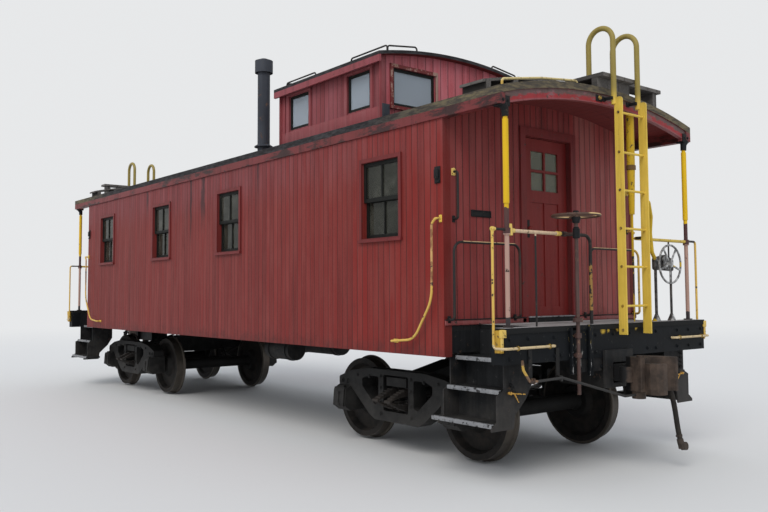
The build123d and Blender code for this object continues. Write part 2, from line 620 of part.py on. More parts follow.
def build_couplers():
    z = COUPLER_Z
    pocket = box(SILL_X1 - 525, SILL_X1, -150, 150, z - 130, SILL_BASE)
    pocket += box(SILL_X1, SILL_X1 + 25, -205, 205, z - 130, SILL_Z0 + 60)
    pocket += box(SILL_X0 + 30, SILL_X1 - 15, -560, 205, SILL_Z0 - 115, SILL_Z0)
    pocket -= box(SILL_X1 - 505, SILL_X1 + 30, -95, 95, z - 90, z + 90)
    save("draft_pockets", both_ends([pocket]))
    neck = SILL_X1 + 175
    shank = box(SILL_X1 - 345, neck, -75, 75, z - 75, z + 75)
    shank += box(SILL_X1 - 505, SILL_X1 - 325, -95, 95, z - 90, z + 90)
    shank += cyl("z", z - 65, z + 65, neck + 10, -125, 60)
    a = neck
    head = prism_z([
        (a - 30, -80), (a + 50, -120), (a + 160, -138), (a + 175, -100), (a + 150, -45), (a + 150, 50),
        (a + 262, 150), (a + 300, 172), (a + 300, 208), (a + 180, 205), (a - 30, 115),
    ], z - 140, z + 150, 9)
    lock = cyl("z", z - 205, z - 135, LOCK_X, LOCK_Y, LOCK_R) + cyl("z", z + 145, z + 165, a + 125, -92, 32)
    save("couplers", both_ends([shank + head + lock]))
    tip = COUPLER_X - neck
    seam = a + 150 + 25 * 4 / 55
    knuckle = prism_z([
        (a + 175, -100), (a + 235, -118), (a + tip - 20, -100), (a + tip, -50), (a + tip, 5), (a + tip - 30, 42),
        (a + tip - 70, 34), (a + tip - 85, -18), (a + 195, -28), (a + 154, -43.5), (seam, -49),
    ], z - 160, z + 100)
    rounding = knuckle.edges().filter_by(Axis.Z).filter_by_position(Axis.X, a + 220, a + tip + 1)
    knuckle = fillet(rounding, 14)
    save("knuckles", both_ends([knuckle]))


def build_levers():
    x = SILL_X1 + 45
    z = COUPLER_Z + 2
    lever = pipe([
        (x + 12, -SILL_HALF_Y + 140, z + 170), (x, -SILL_HALF_Y + 165, z + 95), (x, -SILL_HALF_Y + 246, z - 5),
        (x, -818, z + 5), (LOCK_X, -260, COUPLER_Z - 170), (LOCK_X, LOCK_Y - LOCK_R - SEAT, COUPLER_Z - 170),
    ], 11, 25)
    for y in (-SILL_HALF_Y + 290, -830):
        lever += box(SILL_X1, SILL_X1 + 10, y - 22, y + 22, z - 22, SILL_Z0 + 110)
        lever += box(SILL_X1, x + 8, y - 9, y + 9, z - 22, z + 22)
    save("uncoupling_levers", both_ends([lever]))


# Air hose route: steps along X, Y and Z from the angle cock down to the coupling head
HOSE_STEPS = (
    (54.8, 1.0, -65.0),
    (35.0, 4.0, -80.0),
    (20.0, 5.0, -95.0),
    (12.0, 6.0, -105.0),
    (10.0, 7.0, -105.0),
    (13.0, 8.0, -88.0),
)
HOSE_Y = 360.0
COCK_X = SILL_X1 + 215
COCK_Z = COUPLER_Z - 50


def hose_route():
    points = [Vector(COCK_X, HOSE_Y, COCK_Z)]
    for step in HOSE_STEPS:
        points.append(points[-1] + Vector(*step))
    return points


def hose_radii(points):
    radii = []
    for a, b, c in zip(points, points[1:], points[2:]):
        before = b - a
        after = c - b
        half = math.radians(before.get_angle(after)) / 2
        radii.append(0.45 * min(before.length, after.length) / math.tan(half))
    return radii


def build_air():
    points = hose_route()
    radii = hose_radii(points)
    path = FilletPolyline(*points, radius=radii)
    print("hose radii", [round(r) for r in radii], "length", round(path.length))
    start = (points[1] - points[0]).normalized()
    hose = sweep(Plane(origin=points[0], z_dir=start) * Circle(HOSE_R), path=path)
    print("hose volume over section times length", round(hose.volume / (math.pi * HOSE_R ** 2 * path.length), 4))
    save("air_hoses", both_ends([hose]))
    end = (points[-1] - points[-2]).normalized()
    head = Plane(origin=points[-1], x_dir=(0, 1, 0), z_dir=end)
    coupling = head * (Pos(0, 0, 22) * Cylinder(HOSE_R + 6, 44))
    coupling += head * (Pos(18, 0, 62) * Box(76, 40, 44))
    coupling += head * (Pos(40, 0, 70) * Rot(90, 0, 0) * Cylinder(36, 46))
    save("hose_couplings", both_ends([coupling]))
    level = SILL_BASE - TRAIN_PIPE_R - 4
    knee = points[0] + start * ((level - COCK_Z) / start.Z)
    line = pipe([(0, 0, level), (250, 0, level), (520, 190, level), (SILL_X0 - 180, 190, level),
                 (SILL_X0 - 60, HOSE_Y, level), (knee.X, knee.Y, level), tuple(points[0])], TRAIN_PIPE_R, 45)
    for x in (800, 0.5 * BODY_HALF, TRUCK_X - 500, TRUCK_X + 500):
        line += box(x - 20, x + 20, 140, 200, level + 12, SILL_BASE)
    cock = Plane(origin=points[0], z_dir=start)
    line += cock * (Pos(0, 0, -42) * Cylinder(HOSE_R + 9, 84))
    line += cock * (Pos(0, 0, -60) * Rot(90, 0, 0) * Cylinder(17, 90))
    gear = [line, turned(line)]
    # Brake cylinder and air reservoir: ends along X, Y centre, radius
    for x0, x1, y, radius in ((260.0, 830.0, -560.0, 135.0), (-760.0, 260.0, 560.0, 160.0)):
        tank = cyl("x", x0, x1, y, FLOOR_BASE - 380, radius)
        for x in (x0 + 70, x1 - 110):
            tank += cyl("x", x, x + 40, y, FLOOR_BASE - 380, radius + 9)
            tank += box(x, x + 40, y - 30, y + 30, FLOOR_BASE - 370, FLOOR_BASE)
        tank += cyl("x", x0 - 18, x0, y, FLOOR_BASE - 380, radius * 0.6)
        gear.append(tank)
    save("air_brake_gear", gear)


# Truck side frame: half outline, X from the truck centre, height above the axle centre
FRAME_HALF = (
    (330.0, -156.0), (430.0, -104.0), (720.0, 130.0), (940.0, 150.0), (940.0, 236.0), (720.0, 312.0), (450.0, 352.0),
)
FRAME_HOLE = (
    (270.0, 275.0), (270.0, 10.0), (330.0, -10.0), (540.0, 165.0), (540.0, 240.0), (440.0, 275.0),
)


def side_frame(xc):
    right = [(xc + x, WHEEL_Z + z) for x, z in FRAME_HALF]
    left = [(xc - x, WHEEL_Z + z) for x, z in reversed(FRAME_HALF)]
    frame = prism_y(right + left, -FRAME_Y1, -FRAME_Y0, 18)
    window = [(xc - 190, WHEEL_Z - 54), (xc + 190, WHEEL_Z - 54), (xc + 190, WHEEL_Z + 301), (xc - 190, WHEEL_Z + 301)]
    frame -= prism_y(window, -FRAME_Y1 - 5, -FRAME_Y0 + 5, 20)
    for side in (-1, 1):
        hole = [(xc + side * x, WHEEL_Z + z) for x, z in FRAME_HOLE]
        frame -= prism_y(hole, -FRAME_Y1 - 5, -FRAME_Y0 + 5, 20)
        jx = xc + side * WHEELBASE / 2
        shell = [(-FRAME_Y0 + 25, WHEEL_Z - 105), (-JOURNAL_END + 15, WHEEL_Z - 115), (-JOURNAL_END - 55, WHEEL_Z - 60),
                 (-JOURNAL_END - 40, WHEEL_Z + 115), (-JOURNAL_END + 25, WHEEL_Z + 150), (-FRAME_Y0 + 25, WHEEL_Z + 150)]
        frame += prism_x(shell, jx - 105, jx + 105)
        frame += box(jx - 60, jx + 60, -FRAME_Y1, -FRAME_Y0, WHEEL_Z + 140, WHEEL_Z + 230)
        lid = [(-JOURNAL_END - 55, WHEEL_Z - 70), (-JOURNAL_END - 72, WHEEL_Z - 62), (-JOURNAL_END - 60, WHEEL_Z + 95),
               (-JOURNAL_END - 48, WHEEL_Z + 128), (-JOURNAL_END - 20, WHEEL_Z + 128), (-JOURNAL_END - 30, WHEEL_Z + 60)]
        frame += prism_x(lid, jx - 88, jx + 88)
        frame += cyl("x", jx - 55, jx + 55, -JOURNAL_END - 20, WHEEL_Z + 132, 15)
        frame -= cyl("y", -JOURNAL_END - 12, -FRAME_Y0 + 40, jx, WHEEL_Z, JOURNAL_R + SEAT)
    return frame


# One half of a full-elliptic spring: leaves shorten from the long one up to the band
def leaf_stack():
    radius = (SPRING_HALF ** 2 + SPRING_SAG ** 2) / (2 * SPRING_SAG)
    stack = None
    for k in range(LEAVES):
        half = SPRING_HALF - k * (SPRING_HALF - 75) / LEAVES
        width = LEAF_W - 6 * (k % 2)
        inner = radius + k * LEAF_T
        leaf = cyl("x", -width / 2, width / 2, 0, SPRING_SAG - radius, inner + LEAF_T)
        leaf -= cyl("x", -width, width, 0, SPRING_SAG - radius, inner)
        leaf &= box(-width, width, -half, half, -LEAF_T, SPRING_SAG + LEAVES * LEAF_T)
        stack = leaf if stack is None else stack + leaf
    return stack


def elliptic_spring(height):
    upper = leaf_stack()
    band_top = height / 2
    upper += box(-LEAF_W / 2 - 8, LEAF_W / 2 + 8, -34, 34, SPRING_SAG - 12, band_top)
    spring = upper + mirror(upper, about=Plane.XY)
    for y in (-SPRING_HALF + 12, SPRING_HALF - 12):
        spring += cyl("x", -LEAF_W / 2 - 4, LEAF_W / 2 + 4, y, 0, 14)
    return spring


def build_truck(name, xc):
    save(name + "_side_frames", mirrored([side_frame(xc)]))
    end_base = WHEEL_Z + 196
    deep = WHEEL_Z + 156
    reach = FRAME_Y1 - 10
    bolster = prism_x([
        (-reach, end_base), (-FRAME_Y0 + 30, end_base), (-300, deep), (300, deep), (FRAME_Y0 - 30, end_base),
        (reach, end_base), (reach, end_base + 85), (FRAME_Y0 - 40, end_base + 95), (300, PLATE_Z - 38),
        (-300, PLATE_Z - 38), (-FRAME_Y0 + 40, end_base + 95), (-reach, end_base + 85),
    ], xc - 150, xc + 150)
    bolster += cyl("z", PLATE_Z - 43, PLATE_Z, xc, 0, 170)
    half = WHEELBASE / 2
    for side in (-1, 1):
        wheel_x = xc + side * half
        beam_x = xc + side * (half - TREAD_R - 72)
        bolster += cyl("y", -800, 800, beam_x, WHEEL_Z - 24, 30)
        ring = cyl("y", -800, 800, wheel_x, WHEEL_Z, TREAD_R + SHOE_CLEAR + 40)
        ring -= cyl("y", -810, 810, wheel_x, WHEEL_Z, TREAD_R + SHOE_CLEAR)
        for y in (-1, 1):
            shoe = ring & box(wheel_x - side * half, wheel_x - side * 200, y * 715, y * 800, WHEEL_Z - 150, WHEEL_Z + 120)
            bolster += shoe
            bolster += pipe([(xc + side * 140, y * 520, WHEEL_Z + 230), (beam_x, y * 520, WHEEL_Z - 24)], 14, 0)
    save(name + "_bolster", [bolster])
    window_base = WHEEL_Z - 54
    height = end_base - window_base - 2 * SEAT
    spring = elliptic_spring(height)
    places = [(dx, side * (FRAME_Y0 + 45)) for side in (-1, 1) for dx in (-93, 93)]
    save(name + "_springs", [Pos(xc + dx, y, (end_base + window_base) / 2) * spring for dx, y in places])


def build_wheelset(name, xc):
    inner = BACK_TO_BACK / 2
    # Wheel section: radius, distance out from the car's centre line
    profile = [
        (95, inner - 35), (95, inner + 150), (130, inner + 150), (175, inner + 95), (TREAD_R - 89, inner + 70),
        (TREAD_R - 59, inner + RIM_W), (TREAD_R - 3, inner + RIM_W), (TREAD_R, inner + 60), (TREAD_R + 3, inner + 36),
        (WHEEL_Z - 4, inner + 26), (WHEEL_Z, inner + 16), (WHEEL_Z - 6, inner + 3), (WHEEL_Z - 16, inner),
        (TREAD_R - 59, inner), (TREAD_R - 89, inner + 35), (190, inner + 25), (150, inner - 35),
    ]
    wheel = revolve(make_face(Plane.XY * Polyline(*profile, close=True)), Axis.Y)
    wheel = Pos(xc, 0, WHEEL_Z) * wheel
    save(name + "_wheels", mirrored([wheel]))
    stub = FRAME_Y0 - 55
    axle_profile = [
        (0, -JOURNAL_END), (JOURNAL_R, -JOURNAL_END), (JOURNAL_R, -stub), (95, -stub + 15), (95, -inner + 35),
        (78, -inner + 90), (78, inner - 90), (95, inner - 35), (95, stub - 15), (JOURNAL_R, stub),
        (JOURNAL_R, JOURNAL_END), (0, JOURNAL_END),
    ]
    axle = revolve(make_face(Plane.XY * Polyline(*axle_profile, close=True)), Axis.Y)
    save(name + "_axle", [Pos(xc, 0, WHEEL_Z) * axle])


def build_grabs():
    z = FLOOR_TOP
    out_y = -SILL_HALF_Y - 32
    front = SILL_X1 + 37
    low = SILL_Z0 + 130
    outer = pipe([
        (POST_X, -POST_Y, RAIL_Z + 6), (POST_X, out_y, RAIL_Z + 6), (POST_X, out_y, low), (front, out_y, low),
        (front, -WELL_Y + 80, low), (SILL_X1, -WELL_Y + 80, low),
    ], 11, 30)
    outer -= cyl("z", RAIL_Z - 60, RAIL_Z + 60, POST_X, -POST_Y, 30 + SEAT)
    y = -BODY_HALF_W - 63
    face = -BODY_HALF_W - SEAT
    side = pipe([
        (BODY_HALF - 33, face, z + 926), (BODY_HALF - 33, y, z + 926), (BODY_HALF - 83, y, z + 881),
        (BODY_HALF - 88, y, z + 221), (BODY_HALF - 328, y, z - 129), (BODY_HALF - 648, y, z - 155),
        (BODY_HALF - 648, face, z - 155),
    ], 11, [15, 60, 350, 200, 15])
    x = BODY_HALF + 82
    loop = pipe([
        (BODY_HALF, -BODY_HALF_W + 45, z + 51), (x, -BODY_HALF_W + 45, z + 51), (x, -BODY_HALF_W + 45, z + 721),
        (x, -DOOR_HALF - 185, z + 721), (x, -DOOR_HALF - 185, z + 51), (BODY_HALF, -DOOR_HALF - 185, z + 51),
    ], 12, [30, 90, 90, 30])
    wall_y = -INNER_Y + 32
    upright = pipe([
        (BODY_HALF, wall_y, z + 926), (BODY_HALF + 58, wall_y, z + 926), (BODY_HALF + 58, wall_y, z + 1341),
        (BODY_HALF, wall_y, z + 1341),
    ], 11, 25)
    side_far = mirror(side, about=Plane.YZ)
    grabs = both_ends(mirrored([outer, side, loop, upright]))
    roof_x = ROOF_HALF_X - 63
    y0 = -ROOF_HALF_Y + 110
    y1 = -330.0
    mid = (y0 + y1) / 2
    roof_grab = pipe([
        (roof_x, y0, arc_z(y0, ROOF_CROWN, ROOF_R) - 30), (roof_x, y0, arc_z(y0, ROOF_CROWN, ROOF_R) + 50),
        (roof_x, mid, arc_z(mid, ROOF_CROWN, ROOF_R) + 36), (roof_x, y1, arc_z(y1, ROOF_CROWN, ROOF_R) + 38),
        (roof_x, y1, arc_z(y1, ROOF_CROWN, ROOF_R) - 30),
    ], 11, 30)
    roof_grab -= vault(roof_x - 50, roof_x + 50, ROOF_CROWN + SEAT, ROOF_R + SEAT)
    grabs += both_ends([roof_grab])
    cup_y = -CUP_ROOF_HALF_Y + 130
    cup_z = arc_z(cup_y, CUP_CROWN, CUP_R)
    run = 620
    for x0 in (CUP_X1 + CUP_OVER - run - 30, CUP_X0 + 50):
        cup_grab = pipe([(x0, cup_y, cup_z - 30), (x0, cup_y, cup_z + 60), (x0 + run, cup_y, cup_z + 60),
                         (x0 + run, cup_y, cup_z - 30)], 9, 30)
        cup_grab -= vault(x0 - 50, x0 + run + 50, CUP_CROWN + SEAT, CUP_R + SEAT)
        grabs += mirrored([cup_grab])
    inner_y = cup_y + 440
    for x in (CUP_X1 + CUP_OVER - 70, CUP_X0 - CUP_OVER_REAR + 30):
        cup_end = pipe([(x, cup_y + 40, cup_z - 30), (x, cup_y + 40, cup_z + 72),
                        (x, inner_y, arc_z(inner_y, CUP_CROWN, CUP_R) + 60),
                        (x, inner_y, arc_z(inner_y, CUP_CROWN, CUP_R) - 30)], 9, 30)
        cup_end -= vault(x - 50, x + 50, CUP_CROWN + SEAT, CUP_R + SEAT)
        grabs += mirrored([cup_end])
    save("grab_irons", grabs)


os.makedirs("parts", exist_ok=True)
build_walls()
build_roof()
build_cupola()
build_windows()
build_doors()
build_underframe()
build_platforms()
build_steps()
build_ladders()
build_roof_walks()
build_posts()
build_brakes()
build_gear_brakes()
build_drop_pipes()
build_stack()
build_couplers()
build_levers()
build_air()
build_truck("truck_front", TRUCK_X)
build_truck("truck_rear", -TRUCK_X)
for index, position in enumerate((TRUCK_X + WHEELBASE / 2, TRUCK_X - WHEELBASE / 2,
                                  -TRUCK_X + WHEELBASE / 2, -TRUCK_X - WHEELBASE / 2)):
    build_wheelset("wheelset_" + str(index + 1), position)
build_grabs()
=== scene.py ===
import logging
import math
from dataclasses import dataclass
from enum import Enum
from typing import Callable, Iterable

import bpy
from mathutils import Matrix, Vector

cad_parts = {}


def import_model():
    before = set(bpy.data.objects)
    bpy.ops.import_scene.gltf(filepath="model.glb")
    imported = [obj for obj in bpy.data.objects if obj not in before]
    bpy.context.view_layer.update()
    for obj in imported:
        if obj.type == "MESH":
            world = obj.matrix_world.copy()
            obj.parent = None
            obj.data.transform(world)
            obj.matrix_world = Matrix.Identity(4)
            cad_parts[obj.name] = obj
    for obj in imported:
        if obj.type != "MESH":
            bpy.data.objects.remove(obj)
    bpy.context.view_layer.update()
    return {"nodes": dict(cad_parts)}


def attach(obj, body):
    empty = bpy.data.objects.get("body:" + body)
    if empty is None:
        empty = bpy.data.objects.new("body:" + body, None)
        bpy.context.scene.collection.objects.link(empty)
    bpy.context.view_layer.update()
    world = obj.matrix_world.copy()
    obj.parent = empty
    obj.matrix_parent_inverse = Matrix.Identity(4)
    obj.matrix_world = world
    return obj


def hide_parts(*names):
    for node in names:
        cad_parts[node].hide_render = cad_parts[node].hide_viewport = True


LOG = logging.getLogger("caboose")

Pair = tuple[float, float]
Colour = tuple[float, float, float]
Point = tuple[float, float, float]
Piece = bpy.types.Object

SEEN_ANGLE = math.radians(35.0)

# Faces and levels of the solids that the fittings and the paint's edges keep to
BODY_END = 4.478
BODY_SIDE = 1.402
POST_X, POST_Y = 5.140, 1.322
STAFF = (5.270, -0.600)
ROOF_CROWN = 3.427
ROOF_RADIUS = 5.347
ROOF_THICK = 0.062
AXLE_Z = 0.444
WHEEL_X = (4.238, 2.562, -2.562, -4.238)

# Spots of overspray on the end sills: the middle across and up, and the radius
SPRAY_SPOTS = (
    ((-0.195, 1.228), 0.046), ((-0.120, 1.222), 0.026), ((0.020, 1.240), 0.040), ((0.300, 1.236), 0.030),
)


class Axis(Enum):
    """The direction along a wall, as an index into a vector."""

    ALONG = 0
    ACROSS = 1


class End(Enum):
    """An end of the car, with its turn about the vertical axis."""

    FRONT = 0.0
    REAR = math.pi

    @property
    def turn(self) -> Matrix:
        """The turn that carries the front end's pieces to this end."""
        return Matrix.Rotation(self.value, 4, "Z")

    @property
    def label(self) -> str:
        """The end's name in the names of pieces and bodies."""
        return self.name.lower()


# Shader graphs


def operator(kind: str, swapped: bool = False) -> Callable[["Value", object], "Value"]:
    """An arithmetic operator that adds a Math node.

    Args:
        kind: The node's operation.
        swapped: Whether the other number comes first.

    Returns:
        The operator, for use as a method of a value.
    """
    def apply(self: "Value", other: object) -> "Value":
        """Adds the node."""
        return self.graph.math(kind, *((other, self) if swapped else (self, other)))
    return apply


@dataclass(frozen=True, eq=False)
class Value:
    """A number, colour or position of a shader tree, whose arithmetic adds nodes."""

    graph: "Graph"
    socket: bpy.types.NodeSocket

    __add__ = __radd__ = operator("ADD")
    __sub__ = operator("SUBTRACT")
    __rsub__ = operator("SUBTRACT", swapped=True)
    __mul__ = __rmul__ = operator("MULTIPLY")
    __truediv__ = operator("DIVIDE")
    __gt__ = operator("GREATER_THAN")
    __lt__ = operator("LESS_THAN")
    __or__ = __ror__ = operator("MAXIMUM")

    def __abs__(self) -> "Value":
        """The number without its sign."""
        return self.graph.math("ABSOLUTE", self)

    def within(self, low: float, high: float) -> "Value":
        """1 from low to high and 0 elsewhere."""
        return (self > low) * (self < high)

    def step(self, low: float, high: float) -> "Value":
        """A smooth rise from 0 to 1 as the number goes from low to high."""
        feeds = {0: self, 1: low, 2: high}
        return self.graph.value("ShaderNodeMapRange", feeds, interpolation_type="SMOOTHSTEP")

    def mix(self, low: object, high: object) -> "Value":
        """A colour between two colours, as far as this number says."""
        return self.graph.mixed(self, low, high, "MIX")

    def tinted(self, by: Colour, amount: object = 1.0) -> "Value":
        """This colour multiplied by another, as far as the amount says."""
        return self.graph.mixed(amount, self, by, "MULTIPLY")

    def noise(self, scale: object, detail: float = 4.0, rough: float = 0.55) -> "Value":
        """Noise between 0 and 1 at this position."""
        feeds = {"Vector": self, "Scale": scale, "Detail": detail, "Roughness": rough}
        return self.graph.value("ShaderNodeTexNoise", feeds)

    def stretched(self, *scale: float) -> "Value":
        """This position squeezed along its axes."""
        return self.graph.value("ShaderNodeMapping", {"Vector": self, "Scale": scale})

    def parts(self) -> list["Value"]:
        """The three coordinates of this position."""
        return self.graph.values(self.graph.node("ShaderNodeSeparateXYZ", {0: self}))

    def homeward(self) -> list["Value"]:
        """The coordinates turned to the front end, so that both ends match."""
        x, y, z = self.parts()
        return [abs(x), y * self.graph.math("SIGN", x), z]

    def facing(self) -> list["Value"]:
        """The three parts of the direction that the surface faces."""
        return self.graph.place("Normal").parts()

    def bump(self, depth: float) -> dict[str, "Value"]:
        """The surface's normal, tilted by this height."""
        feeds = {"Height": self, "Distance": depth, "Strength": 1.0}
        return {"Normal": self.graph.value("ShaderNodeBump", feeds)}

    def effect(self, name: str, **feeds: object) -> dict[str, "Value"]:
        """A shared effect's results by name, with this value as its first input.

        Args:
            name: The effect's name.
            feeds: The effect's other inputs by name.

        Returns:
            The results by name.
        """
        made = self.graph.tree.nodes.new("ShaderNodeGroup")
        made.node_tree = bpy.data.node_groups.get(name) or EFFECTS[name].tree(name)
        self.graph.feed(made.inputs[0], self)
        for key, value in feeds.items():
            self.graph.feed(made.inputs[key], value)
        return {value.socket.name: value for value in self.graph.values(made)}


@dataclass(frozen=True)
class Graph:
    """Adds and joins the nodes of one shader tree."""

    tree: bpy.types.NodeTree

    def feed(self, socket: bpy.types.NodeSocket, value: object) -> None:
        """Joins a value to an input, or sets the input to a plain number or colour.

        Args:
            socket: The input.
            value: A value, number or colour.
        """
        if isinstance(value, Value):
            self.tree.links.new(value.socket, socket)
        else:
            socket.default_value = (*value, 1.0) if socket.type == "RGBA" else value

    def node(self, kind: str, feeds: dict | None = None, **settings: object) -> bpy.types.Node:
        """Adds a node.

        Args:
            kind: The node's type name.
            feeds: Its inputs by name or index.
            settings: Its own properties.

        Returns:
            The new node.
        """
        made = self.tree.nodes.new(kind)
        for name, setting in settings.items():
            setattr(made, name, setting)
        for name, value in (feeds or {}).items():
            self.feed(made.inputs[name], value)
        return made

    def values(self, node: bpy.types.Node) -> list[Value]:
        """A node's outputs."""
        return [Value(self, socket) for socket in node.outputs]

    def value(self, kind: str, feeds: dict | None = None, **settings: object) -> Value:
        """A new node's first output."""
        return self.values(self.node(kind, feeds, **settings))[0]

    def place(self, space: str) -> Value:
        """The position or the direction that the surface has in its own object's space."""
        return Value(self, self.node("ShaderNodeTexCoord").outputs[space])

    def math(self, operation: str, *values: object) -> Value:
        """A Math node's result."""
        return self.value("ShaderNodeMath", dict(enumerate(values)), operation=operation)

    def mixed(self, amount: object, low: object, high: object, blend: str) -> Value:
        """Two colours mixed by a Mix node."""
        feeds = {0: amount, 6: low, 7: high}
        return self.values(self.node("ShaderNodeMix", feeds, data_type="RGBA", blend_type=blend))[2]


def cleared(owner: bpy.types.Material | bpy.types.World) -> Graph:
    """An empty shader graph for a material or a world.

    Args:
        owner: The material or world that gets it.

    Returns:
        The graph.
    """
    owner.use_nodes = True
    owner.node_tree.nodes.clear()
    return Graph(owner.node_tree)


def distance(across: Value, up: Value, middle: Pair) -> Value:
    """The distance from a middle in a plane."""
    side, rise = across - middle[0], up - middle[1]
    return across.graph.math("SQRT", side * side + rise * rise)


def layered(colour: object, *layers: tuple[Value, object]) -> Value:
    """Lays colours over a first one.

    Args:
        colour: The lowest colour.
        layers: How much each next colour covers, and the colour.

    Returns:
        The colour that shows.
    """
    for cover, over in layers:
        colour = cover.mix(colour, over)
    return colour


@dataclass(frozen=True)
class Effect:
    """A shader effect that many finishes share, with its inputs' first values."""

    join: Callable[[dict[str, Value]], dict[str, Value]]
    inputs: dict[str, object]

    def tree(self, name: str) -> bpy.types.NodeTree:
        """Builds the effect's nodes.

        Args:
            name: The effect's name.

        Returns:
            The effect's node tree.
        """
        tree = bpy.data.node_groups.new(name, "ShaderNodeTree")
        for key, first in self.inputs.items():
            kind = {3: "Vector", 4: "Color"}[len(first)] if isinstance(first, tuple) else "Float"
            socket = tree.interface.new_socket(name=key, in_out="INPUT", socket_type="NodeSocket" + kind)
            socket.default_value = first
        graph = Graph(tree)
        given = graph.values(graph.node("NodeGroupInput"))
        results = self.join({value.socket.name: value for value in given})
        for key in results:
            kind = "Color" if key == "Color" else "Float"
            tree.interface.new_socket(name=key, in_out="OUTPUT", socket_type="NodeSocket" + kind)
        graph.node("NodeGroupOutput", results)
        return tree


def weathered_paint(given: dict[str, Value]) -> dict[str, Value]:
    """Old paint: broad fading, streaks that run down, and patches of grime.

    Args:
        given: The effect's inputs by name.

    Returns:
        The effect's results by name.
    """
    where, scale = given["Position"], given["Scale"]
    down = where.stretched(1.0, 1.0, 0.06)
    fine = where.noise(scale * 45.0, 6.0, 0.65)
    mottle = where.noise(scale, 5.0, 0.6) * 0.5 + down.noise(scale * 11.0, 4.0, 0.6) * 0.5
    fade = mottle.step(0.38, 0.66) * given["Fading"]
    runs = down.noise(scale * 5.0, 6.0, 0.7) + (fine - 0.5) * 0.35
    dirt = runs.step(0.47, 0.78) * given["Dirt"]
    colour = layered(given["Paint"], (fade, given["Faded"]), (dirt, given["Grime"]))
    return {"Color": colour, "Roughness": given["Gloss"] + fine * 0.3 + dirt * 0.2, "Height": fine}


def board_lines(given: dict[str, Value]) -> dict[str, Value]:
    """Narrow boards: a groove between each two, and a tone of its own for each.

    Args:
        given: The effect's inputs by name.

    Returns:
        The effect's results by name.
    """
    count = given["Across"] / given["Pitch"]
    graph = count.graph
    away = 0.5 - abs(graph.math("FRACT", count) - 0.5)
    line = (1.0 - away / given["Groove"]) | 0.0
    tone = graph.value("ShaderNodeTexWhiteNoise", {"W": graph.math("FLOOR", count)}, noise_dimensions="1D")
    return {"Line": line, "Tone": tone, "Height": 1.0 - line}


def settled_dust(given: dict[str, Value]) -> dict[str, Value]:
    """Dust thrown up from the track, thick near the ground and thin above.

    Args:
        given: The effect's inputs by name.

    Returns:
        The effect's results by name.
    """
    where = given["Position"]
    low = (given["Level"] - where.parts()[2]) / given["Depth"]
    cover = low + (where.noise(7.0, 7.0, 0.65) - 0.5) * 1.6
    return {"Color": (cover.step(0.1, 1.0) * given["Amount"]).mix(given["Under"], given["Dust"])}


def chipped_through(given: dict[str, Value]) -> dict[str, Value]:
    """Small sharp-edged chips and rubbed spots that show what is under the paint."""
    coarse = given["Position"].noise(given["Scale"], 8.0, 0.7)
    return {"Chip": (coarse - (0.72 - given["Amount"] * 0.34)).step(0.0, 0.03)}


NOWHERE = (0.0, 0.0, 0.0)
GREY = (0.5, 0.5, 0.5, 1.0)
EFFECTS = {
    "weathered_paint": Effect(weathered_paint, {
        "Position": NOWHERE, "Paint": GREY, "Faded": GREY, "Grime": GREY,
        "Fading": 0.6, "Dirt": 0.5, "Scale": 1.0, "Gloss": 0.4,
    }),
    "board_lines": Effect(board_lines, {"Across": 0.0, "Pitch": 0.083, "Groove": 0.07}),
    "settled_dust": Effect(settled_dust, {
        "Position": NOWHERE, "Under": GREY, "Dust": GREY, "Level": 1.0, "Depth": 0.8, "Amount": 0.5,
    }),
    "chipped_through": Effect(chipped_through, {"Position": NOWHERE, "Scale": 18.0, "Amount": 0.3}),
}


# Kinds of finish


@dataclass(frozen=True)
class Finish:
    """A finish of the car, with the name of the slot that it stands for."""

    name: str
    slot: str
    shine: float = 0.25

    def material(self) -> bpy.types.Material:
        """The finish's material, built on its first use.

        Returns:
            The material.
        """
        label = "worn_" + self.name
        made = bpy.data.materials.get(label)
        if made is None:
            made = bpy.data.materials.new(label)
            graph = cleared(made)
            feeds = {"Specular IOR Level": self.shine, **self.paint(graph.place("Object"))}
            surface = graph.value("ShaderNodeBsdfPrincipled", feeds)
            graph.node("ShaderNodeOutputMaterial", {"Surface": surface})
        return made

    def paint(self, where: Value) -> dict[str, object]:
        """What the surface's inputs are fed with."""
        raise NotImplementedError

    def dress(self, piece: Piece) -> None:
        """Puts the finish on a whole piece.

        Args:
            piece: The mesh.
        """
        if not piece.material_slots:
            piece.data.materials.append(None)
        for slot in piece.material_slots:
            slot.material = self.material()


